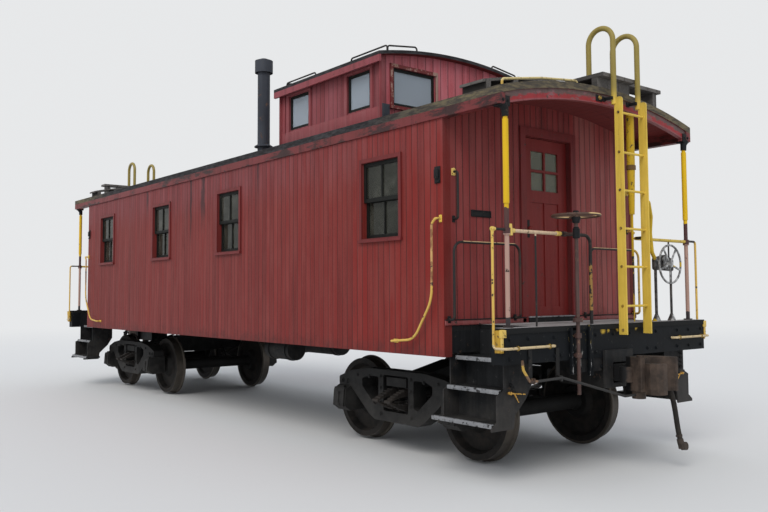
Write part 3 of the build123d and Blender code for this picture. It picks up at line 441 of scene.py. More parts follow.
@dataclass(frozen=True)
class PaintedBoards(Finish):
    """Upright painted boards on a wall, with stains that run down from the eaves."""

    along: Axis = Axis.ALONG
    colour: Colour = (0.188, 0.020, 0.017)
    faded: Colour = (0.232, 0.046, 0.040)
    grime: Colour = (0.060, 0.014, 0.013)
    stain: Colour = (0.034, 0.011, 0.011)
    gap: Colour = (0.020, 0.006, 0.006)
    foot_black: Colour = (0.009, 0.0095, 0.010)
    pitch: float = 0.083
    groove: float = 0.075
    line: float = 0.8
    dirt: float = 0.55
    foot: float = 1.2
    black_below: float = 0.0
    fresh: Colour | None = None
    fresh_tint: Colour = (1.0, 0.84, 0.78)
    top: Colour | None = None
    beyond: Colour | None = None
    runs: tuple[tuple[float, float, float], ...] = ()

    def paint(self, where: Value) -> dict[str, object]:
        """Boards with grooves, fading, streaks and a dirty foot.

        Args:
            where: The position in the car's own frame.

        Returns:
            What the shader's inputs get, by name.
        """
        x, y, z = where.parts()
        across = (x, y)[self.along.value]
        boards = across.effect("board_lines", Pitch=self.pitch, Groove=self.groove)
        shift = where.graph.value("ShaderNodeCombineXYZ", {2: boards["Tone"] * 9.0})
        shifted = where.graph.value("ShaderNodeVectorMath", {0: where, 1: shift}, operation="ADD")
        colour = x.step(1.0, 4.4).mix(self.colour, self.fresh) if self.fresh else self.colour
        old = shifted.effect(
            "weathered_paint", Paint=colour, Faded=self.faded, Grime=self.grime, Fading=0.8, Dirt=self.dirt,
            Scale=1.3, Gloss=0.46,
        )
        shown = (boards["Tone"] * 0.25).mix(old["Color"], self.grime)
        ragged = where.stretched(1.0, 1.0, 0.35).noise(12.0, 7.0, 0.7) - 0.5
        for middle, lowest, width in self.runs:
            side = abs(x - middle) + ragged * (3.0 * width)
            run = side.step(width, 0.2 * width) * z.step(lowest, lowest + 0.5)
            shown = (run * 0.85).mix(shown, self.stain)
        if self.fresh:
            shown = shown.tinted(self.fresh_tint, x.step(0.5, 4.4))
        if self.top:
            shown = shown.tinted(self.top, z.step(2.50, 2.95))
        if self.beyond:
            shown = shown.tinted(self.beyond, where.homeward()[1].step(0.30, 0.50))
        patch = where.stretched(3.0, 3.0, 0.35).noise(1.7, 7.0, 0.7).step(0.60, 0.72)
        dusty = where.effect(
            "settled_dust", Under=(patch * self.dirt).mix(shown, self.grime), Dust=self.grime,
            Level=self.foot, Depth=0.35, Amount=0.75,
        )
        shown = layered(
            dusty["Color"], (boards["Line"] * self.line, self.gap), (z < self.black_below, self.foot_black),
        )
        bump = (boards["Height"] + old["Height"] * 0.18).bump(0.004)
        return {"Base Color": shown, "Roughness": old["Roughness"], **bump}


@dataclass(frozen=True)
class OldPaint(Finish):
    """Old paint on wood or steel, chipped to what is under it, in one colour or a function's colours."""

    colour: Colour = (0.2, 0.05, 0.04)
    colours: Callable[[Value, Colour], Value] | None = None
    faded: Colour = (0.25, 0.08, 0.07)
    grime: Colour = (0.06, 0.03, 0.03)
    under: Colour = (0.05, 0.035, 0.03)
    fading: float = 0.6
    dirt: float = 0.45
    chips: float = 0.25
    chip_scale: float = 16.0
    scale: float = 2.5
    gloss: float = 0.35
    dust: float = 0.0
    dust_level: float = 1.2
    dust_depth: float = 1.0
    dust_colour: Colour = (0.21, 0.185, 0.16)

    def paint(self, where: Value) -> dict[str, object]:
        """Faded and dirty paint with chips, and dust near the ground.

        Args:
            where: The position in the car's own frame.

        Returns:
            What the shader's inputs get, by name.
        """
        colour, faded = self.colour, self.faded
        if self.colours:
            colour = self.colours(where, self.colour)
            faded = colour.tinted((1.3, 1.35, 1.6))
        old = where.effect(
            "weathered_paint", Paint=colour, Faded=faded, Grime=self.grime, Fading=self.fading,
            Dirt=self.dirt, Scale=self.scale, Gloss=self.gloss,
        )
        chip = where.effect("chipped_through", Scale=self.chip_scale, Amount=self.chips)["Chip"]
        shown = chip.mix(old["Color"], self.under)
        if self.dust:
            shown = where.effect(
                "settled_dust", Under=shown, Dust=self.dust_colour, Level=self.dust_level,
                Depth=self.dust_depth, Amount=self.dust,
            )["Color"]
        bump = (old["Height"] - chip).bump(0.0008)
        return {"Base Color": shown, "Roughness": old["Roughness"] + chip * 0.2, **bump}


def post_colours(where: Value, foot: Colour) -> Value:
    """A corner post: dark foot, pale below the railing, brown at it, yellow above, black on top.

    Args:
        where: The position in the car's own frame.
        foot: The finish's own colour, shown where no other one is.

    Returns:
        The colour at each place.
    """
    height = where.parts()[2] + (where.noise(30.0) - 0.5) * 0.03
    return layered(
        foot, (height > 1.36, (0.40, 0.25, 0.20)), (height > 2.035, (0.07, 0.030, 0.030)),
        (height > 2.245, (0.68, 0.42, 0.006)), (height > 3.010, (0.020, 0.020, 0.022)),
    )


def railing_colours(where: Value, black: Colour) -> Value:
    """An end railing: yellow tops at both sides, and a yellow stain on the turned-down end.

    Args:
        where: The position in the car's own frame.
        black: The finish's own colour, shown where no other one is.

    Returns:
        The colour at each place.
    """
    _, across, height = where.homeward()
    high = height > 2.03
    stain = height.within(1.40, 1.82) * where.noise(24.0, 5.0).step(0.42, 0.5)
    return layered(
        black, (high * (across < -0.66), (0.58, 0.42, 0.27)),
        (stain * across.within(-0.30, -0.18), (0.30, 0.17, 0.045)),
        (high * (across > 0.40), (0.56, 0.40, 0.07)),
    )


def grab_colours(where: Value, yellow: Colour) -> Value:
    """Grab irons: yellow outside, black on the end walls and on the cupola, pale where hands rub, and paler
    on the hoops above the roof as painted sunlight.

    Args:
        where: The position in the car's own frame.
        yellow: The finish's own colour, shown where no other one is.

    Returns:
        The colour at each place.
    """
    out, across, height = where.homeward()
    side = abs(across)
    wall = (out < 4.602) * across.within(-1.38, 1.25)
    link = side.within(1.325, 1.470) * height.within(2.04, 2.2) * (out > 5.0)
    worn = where.noise(9.0, 5.0).step(0.40, 0.55).mix((0.22, 0.10, 0.045), (0.54, 0.32, 0.12))
    return layered(
        yellow,
        (height.within(1.62, 2.16) * (side > BODY_SIDE) * (out < 4.60), worn),
        (height.within(1.05, 1.15) * (out > 5.1), (0.56, 0.43, 0.24)),
        # Paler yellow on the hoops above the roof: painted sunlight
        (height.within(3.3, 3.95), (0.58, 0.46, 0.2)),
        (wall | link | (height > 3.95), (0.015, 0.0145, 0.015)),
        (wall * height.within(1.36, 1.80) * (side < 0.62), (0.060, 0.016, 0.015)),
        (wall * height.within(2.005, 2.06) * side.within(0.56, 1.25), (0.55, 0.38, 0.20)),
    )


def hand_wheel_colours(where: Value, brown: Colour) -> Value:
    """The brake wheel: rusty brown, pale on the rim's upper half, on the side that hands hold.

    Args:
        where: The position in the car's own frame.
        brown: The finish's own colour, shown where no other one is.

    Returns:
        The colour at each place.
    """
    out, across, _ = where.homeward()
    up = where.facing()[2].step(-0.15, 0.35)
    held = (across - STAFF[1]) + (where.noise(9.0) - 0.5) * 0.25
    pale = up * (distance(out, across, STAFF) > 0.185) * held.step(-0.09, -0.03)
    return pale.mix(brown, (0.62, 0.44, 0.20))


def gear_colours(where: Value, dark: Colour) -> Value:
    """The geared hand brake: dark iron, a bright worn wheel with one yellow spoke, and a yellow pipe.

    Args:
        where: The position in the car's own frame.
        dark: The finish's own colour, shown where no other one is.

    Returns:
        The colour at each place.
    """
    out, across, height = where.homeward()
    wheel = out > 5.157
    worn = wheel.mix((0.095, 0.085, 0.077), (0.44, 0.44, 0.43))
    dull = wheel.mix(dark, (0.12, 0.118, 0.115))
    iron = where.noise(20.0, 6.0).step(0.4, 0.65).mix(dull, worn)
    spoke = height.within(1.805, 1.850) * across.within(0.985, 1.15) * wheel
    return ((across < 0.738) | spoke).mix(iron, (0.56, 0.37, 0.02))


def drop_pipe_colours(where: Value, black: Colour) -> Value:
    """The drop pipe: patches of yellow and black, deep yellow on the sleeve, brown at its collar.

    Args:
        where: The position in the car's own frame.
        black: The finish's own colour, shown where no other one is.

    Returns:
        The colour at each place.
    """
    height = where.parts()[2]
    return layered(
        black, (where.noise(7.0, 5.0).step(0.46, 0.5), (0.55, 0.36, 0.03)),
        (height > 1.90, (0.58, 0.37, 0.015)), (height.within(2.725, 2.775), (0.14, 0.075, 0.025)),
    )


def lever_colours(where: Value, black: Colour) -> Value:
    """The uncoupling lever: black with a rusty arm and an orange-yellow handle.

    Args:
        where: The position in the car's own frame.
        black: The finish's own colour, shown where no other one is.

    Returns:
        The colour at each place.
    """
    out, across, height = where.homeward()
    outer = out > 5.25
    arm = (across < -1.13) * outer
    rust = where.noise(15.0, 5.0).step(0.42, 0.6).mix((0.050, 0.030, 0.022), (0.20, 0.12, 0.07))
    handle = arm * height.within(0.90, 0.985)
    return layered(black, (outer, (0.030, 0.029, 0.028)), (arm, rust), (handle, (0.52, 0.33, 0.07)))


def sill_colours(where: Value, black: Colour) -> Value:
    """End sills: black, with round spots of yellow overspray and pale runs near the brake staff.

    Args:
        where: The position in the car's own frame.
        black: The finish's own colour, shown where no other one is.

    Returns:
        The colour at each place.
    """
    out, across, height = where.homeward()
    ragged = (where.noise(40.0, 6.0, 0.7) - 0.5) * 0.05
    spray = 0.0
    for middle, radius in SPRAY_SPOTS:
        spray |= (distance(across, height, middle) + ragged).step(radius, 0.3 * radius)
    runs = where.stretched(1.0, 1.0, 0.14).noise(60.0, 6.0, 0.7).step(0.60, 0.64)
    runs = runs * across.within(-0.70, -0.33) * (out > 5.2)
    pale = (height > 1.12).mix((0.33, 0.32, 0.29), (0.50, 0.36, 0.09))
    return layered(black, (spray, (0.48, 0.31, 0.04)), (runs, pale))


def casing_colours(where: Value, red: Colour) -> Value:
    """Window casings: pale wood in patches on the cupola's ends, most of all at the outer stile.

    Args:
        where: The position in the car's own frame.
        red: The finish's own colour, shown where no other one is.

    Returns:
        The colour at each place.
    """
    _, across, height = where.homeward()
    end = abs(where.facing()[0]) > 0.5
    patch = where.noise(17.0, 7.0, 0.7) + across.within(-0.345, -0.20) * 0.22
    return (patch.step(0.51, 0.60) * (height > 3.42) * end).mix(red, (0.30, 0.175, 0.13))


def eave_colours(where: Value, red: Colour) -> Value:
    """Eave boards: dull red, darkened in long patches, and brighter on the cupola."""
    patch = where.stretched(0.5, 1.0, 2.0).noise(3.4, 7.0, 0.7).step(0.50, 0.58)
    return layered(red, (patch, (0.040, 0.016, 0.015)), (where.parts()[2] > 3.30, (0.225, 0.048, 0.054)))


def ladder_colours(where: Value, yellow: Colour) -> Value:
    """Ladders: strong yellow below, and a dull dark olive on the hoops above the roof, which is painted
    shade.
    """
    return where.parts()[2].step(3.25, 3.45).mix(yellow, (0.25, 0.19, 0.045))


def bow_colours(where: Value, dusty: Colour) -> Value:
    """Roof bows: bands along the arch, dusty on top, bright red in patches, a paler lower edge.

    Args:
        where: The position in the car's own frame.
        dusty: The finish's own colour, shown where no other one is.

    Returns:
        The colour at each place.
    """
    _, across, height = where.homeward()
    depth = (ROOF_CROWN - ROOF_THICK) - (height + across * across / (2.0 * ROOF_RADIUS))
    patch = where.stretched(1.0, 1.0, 2.4).noise(9.0, 7.0, 0.7)
    return layered(
        dusty, ((depth + (patch - 0.5) * 0.16).step(0.040, 0.050), (0.25, 0.018, 0.020)),
        (patch.step(0.54, 0.60), (0.17, 0.075, 0.072)), (depth.step(0.080, 0.086), (0.21, 0.055, 0.055)),
    )


@dataclass(frozen=True)
class RoofFelt(Finish):
    """Tarred felt in sheets on top, weathered wood at the edges and red boards below."""

    felt: Colour = (0.046, 0.043, 0.046)
    worn: Colour = (0.105, 0.096, 0.095)
    tar: Colour = (0.013, 0.012, 0.013)
    wood: Colour = (0.056, 0.048, 0.040)
    moss: Colour = (0.155, 0.125, 0.072)
    soffit: Colour = (0.16, 0.026, 0.024)
    gap: Colour = (0.03, 0.009, 0.008)
    sheet: float = 0.94

    def paint(self, where: Value) -> dict[str, object]:
        """Felt with grit, laps and tar runs, over its edge boards and its soffit.

        Args:
            where: The position in the car's own frame.

        Returns:
            What the shader's inputs get, by name.
        """
        x, y, _ = where.parts()
        lap = x.effect("board_lines", Pitch=self.sheet, Groove=0.02)
        grit = where.noise(120.0, 3.0, 0.6)
        top = layered(
            self.felt, (where.noise(1.6, 6.0, 0.65).step(0.38, 0.68), self.worn),
            (lap["Tone"] * 0.35, self.tar),
            (where.noise(5.0, 7.0, 0.7).step(0.54, 0.7), self.tar), (lap["Line"] * 0.9, self.tar),
            (grit * 0.3, self.worn),
        )
        grain = where.stretched(1.0, 1.0, 5.0).noise(8.0, 8.0, 0.7).step(0.4, 0.65)
        platform = where.homeward()[0].step(3.3, 4.7)
        edge = platform.mix(grain.mix(self.tar, self.felt), grain.mix(self.wood, self.moss))
        boards = y.effect("board_lines", Pitch=0.11, Groove=0.05)
        below = (boards["Line"] * 0.8).mix(self.soffit, self.gap)
        up = where.facing()[2]
        shown = layered(below, (up > -0.35, edge), (up > 0.35, top))
        bump = (lap["Height"] * 2.0 + grit).bump(0.002)
        return {"Base Color": shown, "Roughness": 0.72 + grit * 0.2, **bump}


@dataclass(frozen=True)
class BarePlanks(Finish):
    """Bare weathered planks with grain along one axis."""

    along: Axis = Axis.ALONG
    light: Colour = (0.20, 0.185, 0.17)
    dark: Colour = (0.08, 0.072, 0.066)
    joint: Colour = (0.03, 0.027, 0.024)
    pitch: float = 0.164
    start: float = 0.0
    edge: Colour | None = None

    def paint(self, where: Value) -> dict[str, object]:
        """Grain stretched along the planks, with checks and joints.

        Args:
            where: The position in the car's own frame.

        Returns:
            What the shader's inputs get, by name.
        """
        long_axis = self.along.value
        squeeze = [14.0, 14.0, 14.0]
        squeeze[long_axis] = 0.8
        across = where.parts()[1 - long_axis] - self.start
        joints = across.effect("board_lines", Pitch=self.pitch, Groove=0.035)
        grain = where.stretched(*squeeze).noise(6.0, 9.0, 0.7)
        colour = layered(
            self.dark, (grain.step(0.33, 0.68), self.light), (joints["Tone"] * 0.4, self.dark),
            (where.noise(3.0, 6.0).step(0.5, 0.75), self.dark), (joints["Line"], self.joint),
        )
        if self.edge:
            colour = (where.facing()[2] > 0.5).mix(self.edge, colour)
        bump = (joints["Height"] + grain * 0.5).bump(0.003)
        return {"Base Color": colour, "Roughness": 0.7 + grain * 0.25, **bump}


@dataclass(frozen=True)
class CastIron(Finish):
    """Rough cast iron, oily or rusted, with dust near the ground."""

    dark: Colour = (0.006, 0.006, 0.0063)
    light: Colour = (0.020, 0.0198, 0.0195)
    dust: Colour = (0.048, 0.045, 0.041)
    black: Colour = (0.009, 0.009, 0.0095)
    amount: float = 0.6
    black_to: float = 0.0

    def paint(self, where: Value) -> dict[str, object]:
        """Blotched iron with a sandy skin.

        Args:
            where: The position in the car's own frame.

        Returns:
            What the shader's inputs get, by name.
        """
        blotch = where.noise(9.0, 7.0, 0.65)
        skin = where.noise(150.0, 4.0, 0.6)
        bare = layered(self.dark, (blotch.step(0.36, 0.68), self.light), (skin * 0.35, self.dark))
        dusty = where.effect(
            "settled_dust", Under=bare, Dust=self.dust, Level=0.9, Depth=0.9, Amount=self.amount,
        )
        inner = (where.homeward()[0] + blotch * 0.08).step(self.black_to + 0.05, self.black_to + 0.03)
        return {
            "Base Color": inner.mix(dusty["Color"], self.black), "Roughness": 0.5 + blotch * 0.35,
            "Metallic": 0.15, **(skin + blotch).bump(0.0015),
        }


@dataclass(frozen=True)
class WheelSteel(Finish):
    """Wheel steel: rusty plate, dark hub and a tread that the rail keeps bright."""

    # The plate's and the hub's colours are darker than rusty steel is: with the rust they hold painted shade,
    # as the wheels stand in the car's shadow
    dark: Colour = (0.0085, 0.0078, 0.0072)
    light: Colour = (0.024, 0.0195, 0.0165)
    hub: Colour = (0.010, 0.0095, 0.009)
    scratch: tuple[Colour, Colour] = ((0.036, 0.031, 0.026), (0.13, 0.112, 0.094))
    axle_x: float = 0.0
    tread: float = 0.412

    def paint(self, where: Value) -> dict[str, object]:
        """Rust inside the rim and worn steel outside it.

        Args:
            where: The position in the car's own frame.

        Returns:
            What the shader's inputs get, by name.
        """
        x, _, z = where.parts()
        away = distance(x, z, (self.axle_x, AXLE_Z))
        blotch = where.noise(11.0, 7.0, 0.65)
        skin = where.noise(140.0, 4.0, 0.6)
        bright = away.step(self.tread, self.tread + 0.004)
        colour = layered(
            self.dark, (blotch.step(0.36, 0.66), self.light), (away.step(0.2, 0.13), self.hub),
            (bright, blotch.mix(*self.scratch)),
        )
        return {
            "Base Color": colour, "Roughness": 0.6 + blotch * 0.3 - bright * 0.3,
            "Metallic": bright * 0.6, **(skin * (1.0 - bright)).bump(0.001),
        }


@dataclass(frozen=True)
class WindowGlass(Finish):
    """Old window glass with a film of dust, dark in the cabin and clear in the cupola: the cabin's dark tint
    is painted shade of the room behind it, and the cupola's pale blue is clear glass with a painted sky
    reflection.
    """

    tint: Colour = (0.075, 0.078, 0.060)
    film: Colour = (0.19, 0.19, 0.155)
    clear: Colour = (0.70, 0.78, 0.86)
    shine: float = 0.2

    def paint(self, where: Value) -> dict[str, object]:
        """Glass that is a little dusty and wavy.

        Args:
            where: The position in the car's own frame.

        Returns:
            What the shader's inputs get, by name.
        """
        film = where.noise(6.0, 7.0, 0.65)
        return {
            "Base Color": layered(
                self.tint, (film.step(0.4, 0.8), self.film), (where.parts()[2] > 3.4, self.clear),
            ),
            "Roughness": film.step(0.35, 0.85) * 0.12, "Transmission Weight": 0.70, "IOR": 1.28,
            **where.noise(3.0, 2.0).bump(0.002),
        }


@dataclass(frozen=True)
class HoseRubber(Finish):
    """Perished black rubber with a fine weave and dust."""

    dark: Colour = (0.010, 0.0085, 0.0075)
    dusty: Colour = (0.046, 0.039, 0.032)

    def paint(self, where: Value) -> dict[str, object]:
        """Rubber with cracks and dust.

        Args:
            where: The position in the car's own frame.

        Returns:
            What the shader's inputs get, by name.
        """
        weave = where.stretched(1.0, 1.0, 4.0).noise(160.0, 3.0, 0.5)
        patch = where.noise(14.0, 6.0, 0.6).step(0.4, 0.75)
        colour = layered(self.dark, (patch, self.dusty), (weave * 0.3, self.dusty))
        return {"Base Color": colour, "Roughness": 0.6 + weave * 0.25, **weave.bump(0.0008)}


# The finishes of the car

# Stains on the side walls: the middle along the car, the lowest point and the width
STAINS = ((-0.480, 2.10, 0.040), (-0.125, 2.30, 0.085), (-1.95, 2.52, 0.045), (1.30, 2.60, 0.030))
SIDE_BOARDS = PaintedBoards(
    "side_boards", "red_boards", fresh=(0.205, 0.013, 0.009), line=0.9, top=(1.04, 1.5, 1.8), runs=STAINS,
)
END_BOARDS = PaintedBoards(
    "end_boards", "red_boards", along=Axis.ACROSS, colour=(0.215, 0.026, 0.025), faded=(0.25, 0.058, 0.054),
    foot=1.45, groove=0.09, line=0.95, dirt=0.75, black_below=1.277, beyond=(1.4, 2.1, 2.0),
)
CUPOLA_SIDE_BOARDS = PaintedBoards(
    "cupola_side_boards", "red_boards", foot=3.45, colour=(0.225, 0.042, 0.048),
    faded=(0.285, 0.086, 0.098),
)
# The cupola's end boards are painted about twice as bright as its side boards, in both colours: painted
# sunlight on that face, over the same red paint
CUPOLA_END_BOARDS_SUNLIT = PaintedBoards(
    "cupola_end_boards", "red_boards", along=Axis.ACROSS, foot=3.55, colour=(0.46, 0.090, 0.105),
    faded=(0.54, 0.175, 0.20), pitch=0.11,
)
TRIM_RED = OldPaint(
    "trim_red", "red_trim", colours=casing_colours, colour=(0.135, 0.016, 0.015),
    grime=(0.03, 0.012, 0.011), chips=0.3,
)
SKIRT_RED = OldPaint(
    "skirt_red", "red_trim", colour=(0.21, 0.050, 0.048), faded=(0.27, 0.10, 0.095),
    grime=(0.05, 0.018, 0.017), chips=0.4,
)
TRIM_BRIGHT = OldPaint(
    "trim_bright", "red_trim", colour=(0.225, 0.042, 0.048), faded=(0.30, 0.10, 0.105),
    grime=(0.06, 0.02, 0.019), chips=0.15,
)
BOW_RED = OldPaint(
    "bow_red", "red_trim", colours=bow_colours, colour=(0.10, 0.058, 0.050), grime=(0.045, 0.018, 0.017),
    under=(0.08, 0.05, 0.045), dirt=0.5, scale=1.6, chips=0.35,
)
EAVE_RED = OldPaint(
    "eave_red", "red_trim", colours=eave_colours, colour=(0.150, 0.027, 0.026), grime=(0.028, 0.016, 0.015),
    under=(0.07, 0.040, 0.034), dirt=0.7, scale=1.6, chips=0.22,
)
DOOR_RED = OldPaint(
    "door_red", "red_boards", colour=(0.150, 0.011, 0.010), faded=(0.19, 0.026, 0.022),
    grime=(0.03, 0.012, 0.011), dirt=0.6, scale=1.6,
)
BLACK_STEEL = OldPaint(
    "black_steel", "black_steel", colour=(0.008, 0.0088, 0.0098), faded=(0.022, 0.023, 0.025),
    grime=(0.016, 0.013, 0.012), under=(0.06, 0.04, 0.03), chips=0.3, gloss=0.42, shine=0.15, dust=0.14,
    dust_level=1.25, dust_depth=0.9,
)
SILL_BLACK = OldPaint(
    "sill_black", "black_steel", colours=sill_colours, colour=(0.0055, 0.0065, 0.0075),
    grime=(0.010, 0.0095, 0.009), under=(0.06, 0.058, 0.055), dirt=0.3, chips=0.24, chip_scale=24.0,
    gloss=0.42, shine=0.12,
)
STACK_BLACK = OldPaint(
    "stack_black", "black_steel", colour=(0.028, 0.032, 0.042), faded=(0.06, 0.066, 0.08),
    under=(0.10, 0.06, 0.045), grime=(0.02, 0.018, 0.018), chips=0.35, gloss=0.5,
)
STEP_BLACK = OldPaint(
    "step_black", "black_steel", colour=(0.0095, 0.0105, 0.0112), faded=(0.03, 0.031, 0.033),
    grime=(0.014, 0.013, 0.012), under=(0.07, 0.07, 0.07), fading=0.5, chips=0.26, chip_scale=26.0,
    gloss=0.4, dust=0.16, dust_level=1.0, shine=0.12,
)
YELLOW_STEEL = OldPaint(
    "yellow_steel", "yellow_steel", colours=ladder_colours, colour=(0.66, 0.45, 0.065),
    grime=(0.24, 0.15, 0.045), under=(0.060, 0.045, 0.03), dirt=0.5, chips=0.16, chip_scale=30.0, scale=3.5,
    gloss=0.3,
)
POCKET_YELLOW = OldPaint(
    "pocket_yellow", "yellow_steel", colour=(0.42, 0.235, 0.018), faded=(0.52, 0.34, 0.06),
    grime=(0.12, 0.07, 0.025), under=(0.05, 0.038, 0.03), fading=0.4, dirt=0.7, chips=0.4, chip_scale=26.0,
    scale=4.0,
)
BOLT_YELLOW = OldPaint(
    "bolt_yellow", "yellow_steel", colour=(0.33, 0.20, 0.022), faded=(0.45, 0.30, 0.09),
    grime=(0.09, 0.055, 0.03), under=(0.045, 0.035, 0.03), dirt=0.7, chips=0.6, chip_scale=60.0, scale=9.0,
)
HOOK_YELLOW = OldPaint(
    "hook_yellow", "yellow_steel", colour=(0.58, 0.30, 0.045), faded=(0.66, 0.42, 0.12),
    grime=(0.10, 0.05, 0.03), under=(0.05, 0.038, 0.03), dirt=0.6, chips=0.5, chip_scale=45.0, scale=8.0,
)
KNOB_YELLOW = OldPaint(
    "knob_yellow", "yellow_steel", colour=(0.64, 0.43, 0.08), faded=(0.72, 0.55, 0.26),
    grime=(0.20, 0.12, 0.05), under=(0.06, 0.045, 0.035), dirt=0.4, chips=0.35, chip_scale=40.0, scale=6.0,
)
WORN_NOSE = OldPaint(
    "worn_nose", "grey_timber", colour=(0.19, 0.195, 0.205), faded=(0.30, 0.30, 0.305),
    grime=(0.06, 0.057, 0.055), under=(0.03, 0.03, 0.031), fading=0.7, chips=0.5, chip_scale=20.0,
    gloss=0.45,
)
POSTS = OldPaint(
    "post_paint", "yellow_steel", colours=post_colours, colour=(0.035, 0.028, 0.03),
    grime=(0.13, 0.08, 0.04), fading=0.15, dirt=0.25, chips=0.3, scale=4.0, gloss=0.3,
)
RAILINGS = OldPaint(
    "railing_paint", "yellow_steel", colours=railing_colours, colour=(0.016, 0.0145, 0.0145),
    grime=(0.05, 0.035, 0.022), fading=0.25, dirt=0.4, chips=0.35, scale=4.0,
)
GRABS = OldPaint(
    "grab_paint", "yellow_steel", colours=grab_colours, colour=(0.62, 0.40, 0.085),
    grime=(0.10, 0.06, 0.03), under=(0.05, 0.035, 0.028), fading=0.25, dirt=0.4, chips=0.4, scale=4.0,
)
BRAKE_WHEEL = OldPaint(
    "brake_wheel_paint", "black_steel", colours=hand_wheel_colours, colour=(0.085, 0.048, 0.034),
    grime=(0.05, 0.034, 0.028), fading=0.2, dirt=0.35, chips=0.3, scale=4.0,
)
BRAKE_STAFF = OldPaint(
    "brake_staff_paint", "black_steel", colour=(0.055, 0.030, 0.026), faded=(0.12, 0.075, 0.065),
    grime=(0.018, 0.014, 0.013), under=(0.15, 0.09, 0.06), chips=0.4,
)
GEAR_BRAKE = OldPaint(
    "gear_brake_paint", "black_steel", colours=gear_colours, colour=(0.022, 0.022, 0.023),
    grime=(0.03, 0.026, 0.024), fading=0.2, dirt=0.4, chips=0.3, scale=4.0,
)
DROP_PIPE = OldPaint(
    "drop_pipe_paint", "yellow_steel", colours=drop_pipe_colours, colour=(0.03, 0.028, 0.026),
    grime=(0.14, 0.08, 0.03), fading=0.2, dirt=0.4, chips=0.35, scale=4.0,
)
LEVER = OldPaint(
    "lever_paint", "black_steel", colours=lever_colours, colour=(0.005, 0.005, 0.005),
    grime=(0.03, 0.025, 0.022), fading=0.2, dirt=0.5, chips=0.35, scale=4.0,
)
DARK_SASH = OldPaint(
    "dark_sash", "dark_sash", colour=(0.008, 0.0085, 0.0078), faded=(0.020, 0.021, 0.018),
    grime=(0.007, 0.006, 0.0055), under=(0.06, 0.047, 0.037), gloss=0.42, shine=0.12,
)
MAIN_FELT = RoofFelt("roof_felt", "roofing")
CUPOLA_FELT = RoofFelt("cupola_felt", "roofing", sheet=0.7)
WALK_PLANKS = BarePlanks("walk_planks", "grey_timber", start=-0.082)
FLOOR_PLANKS = BarePlanks(
    "floor_planks", "grey_timber", along=Axis.ACROSS, pitch=0.13, light=(0.14, 0.12, 0.10),
    dark=(0.06, 0.05, 0.04),
)
DECK_PLANKS = BarePlanks(
    "deck_planks", "grey_timber", along=Axis.ACROSS, pitch=0.9, start=0.3, light=(0.44, 0.43, 0.43),
    dark=(0.15, 0.14, 0.14), edge=(0.0065, 0.007, 0.0075),
)
TRUCK_IRON = CastIron("truck_iron", "cast_truck")
SPRING_IRON = CastIron(
    "spring_iron", "cast_truck", dark=(0.014, 0.012, 0.011), light=(0.042, 0.034, 0.029), amount=0.4,
)
COUPLER_IRON = CastIron(
    "coupler_iron", "rusty_cast", dark=(0.034, 0.025, 0.020), light=(0.095, 0.066, 0.050),
    dust=(0.13, 0.105, 0.085), amount=0.3, black_to=5.44,
)
FITTING_IRON = CastIron(
    "fitting_iron", "rusty_cast", dark=(0.016, 0.012, 0.010), light=(0.055, 0.040, 0.032),
    dust=(0.10, 0.082, 0.068), amount=0.3,
)
GLASS = WindowGlass("window_glass", "window_glass")
DOOR_GLASS = WindowGlass("door_glass", "window_glass", tint=(0.31, 0.32, 0.24), film=(0.42, 0.42, 0.32))
RUBBER = HoseRubber("hose_rubber", "hose_rubber")

# The solids that each finish covers. The others are cast iron on a truck and black steel elsewhere
COVERS: tuple[tuple[Finish, str], ...] = (
    (SIDE_BOARDS, "side_wall_left side_wall_right"), (END_BOARDS, "end_wall_front end_wall_rear"),
    (CUPOLA_SIDE_BOARDS, "cupola_sides"), (CUPOLA_END_BOARDS_SUNLIT, "cupola_ends"),
    (DOOR_RED, "door_front door_rear"),
    (TRIM_RED, "window_casings"), (EAVE_RED, "eave_beams"), (BOW_RED, "roof_bows"),
    (DARK_SASH, "window_sashes"),
    (MAIN_FELT, "main_roof"), (CUPOLA_FELT, "cupola_roof"), (WALK_PLANKS, "roof_walks walk_cleats"),
    (FLOOR_PLANKS, "floor"), (DECK_PLANKS, "platform_decks"), (YELLOW_STEEL, "ladder_rails ladder_rungs"),
    (DROP_PIPE, "drop_pipes"), (GRABS, "grab_irons"), (POSTS, "corner_posts"), (RAILINGS, "end_railings"),
    (BRAKE_WHEEL, "brake_wheels"), (BRAKE_STAFF, "brake_staffs"), (GEAR_BRAKE, "hand_brake_gears"),
    (LEVER, "uncoupling_levers"), (SILL_BLACK, "end_sills"), (STACK_BLACK, "smoke_stack"),
    (STEP_BLACK, "step_treads"), (COUPLER_IRON, "couplers knuckles"), (FITTING_IRON, "hose_couplings"),
    (GLASS, "window_glass"), (DOOR_GLASS, "door_front_glass door_rear_glass"),
    (SPRING_IRON, "truck_front_springs truck_rear_springs"),
)


@dataclass
class CadDressing:
    """Gives each solid of the frame its finish."""

    nodes: dict[str, Piece]

    def finish_of(self, name: str) -> Finish:
        """The finish that a solid has by its name.

        Args:
            name: The solid's name.

        Returns:
            Its own finish, or the one of its kind.
        """
        for finish, covered in COVERS:
            if name in covered.split():
                return finish
        kind, _, number = name.partition("_")
        if kind == "wheelset":
            axle_x = WHEEL_X[int(number[0]) - 1]
            return WheelSteel(f"wheelset_{number[0]}_steel", "cast_truck", axle_x=axle_x)
        return TRUCK_IRON if kind == "truck" else BLACK_STEEL

    def build(self) -> None:
        """Dresses every solid."""
        for name, piece in self.nodes.items():
            finish = self.finish_of(name)
            finish.dress(piece)
            LOG.info("dressed %s in %s", name, finish.name)


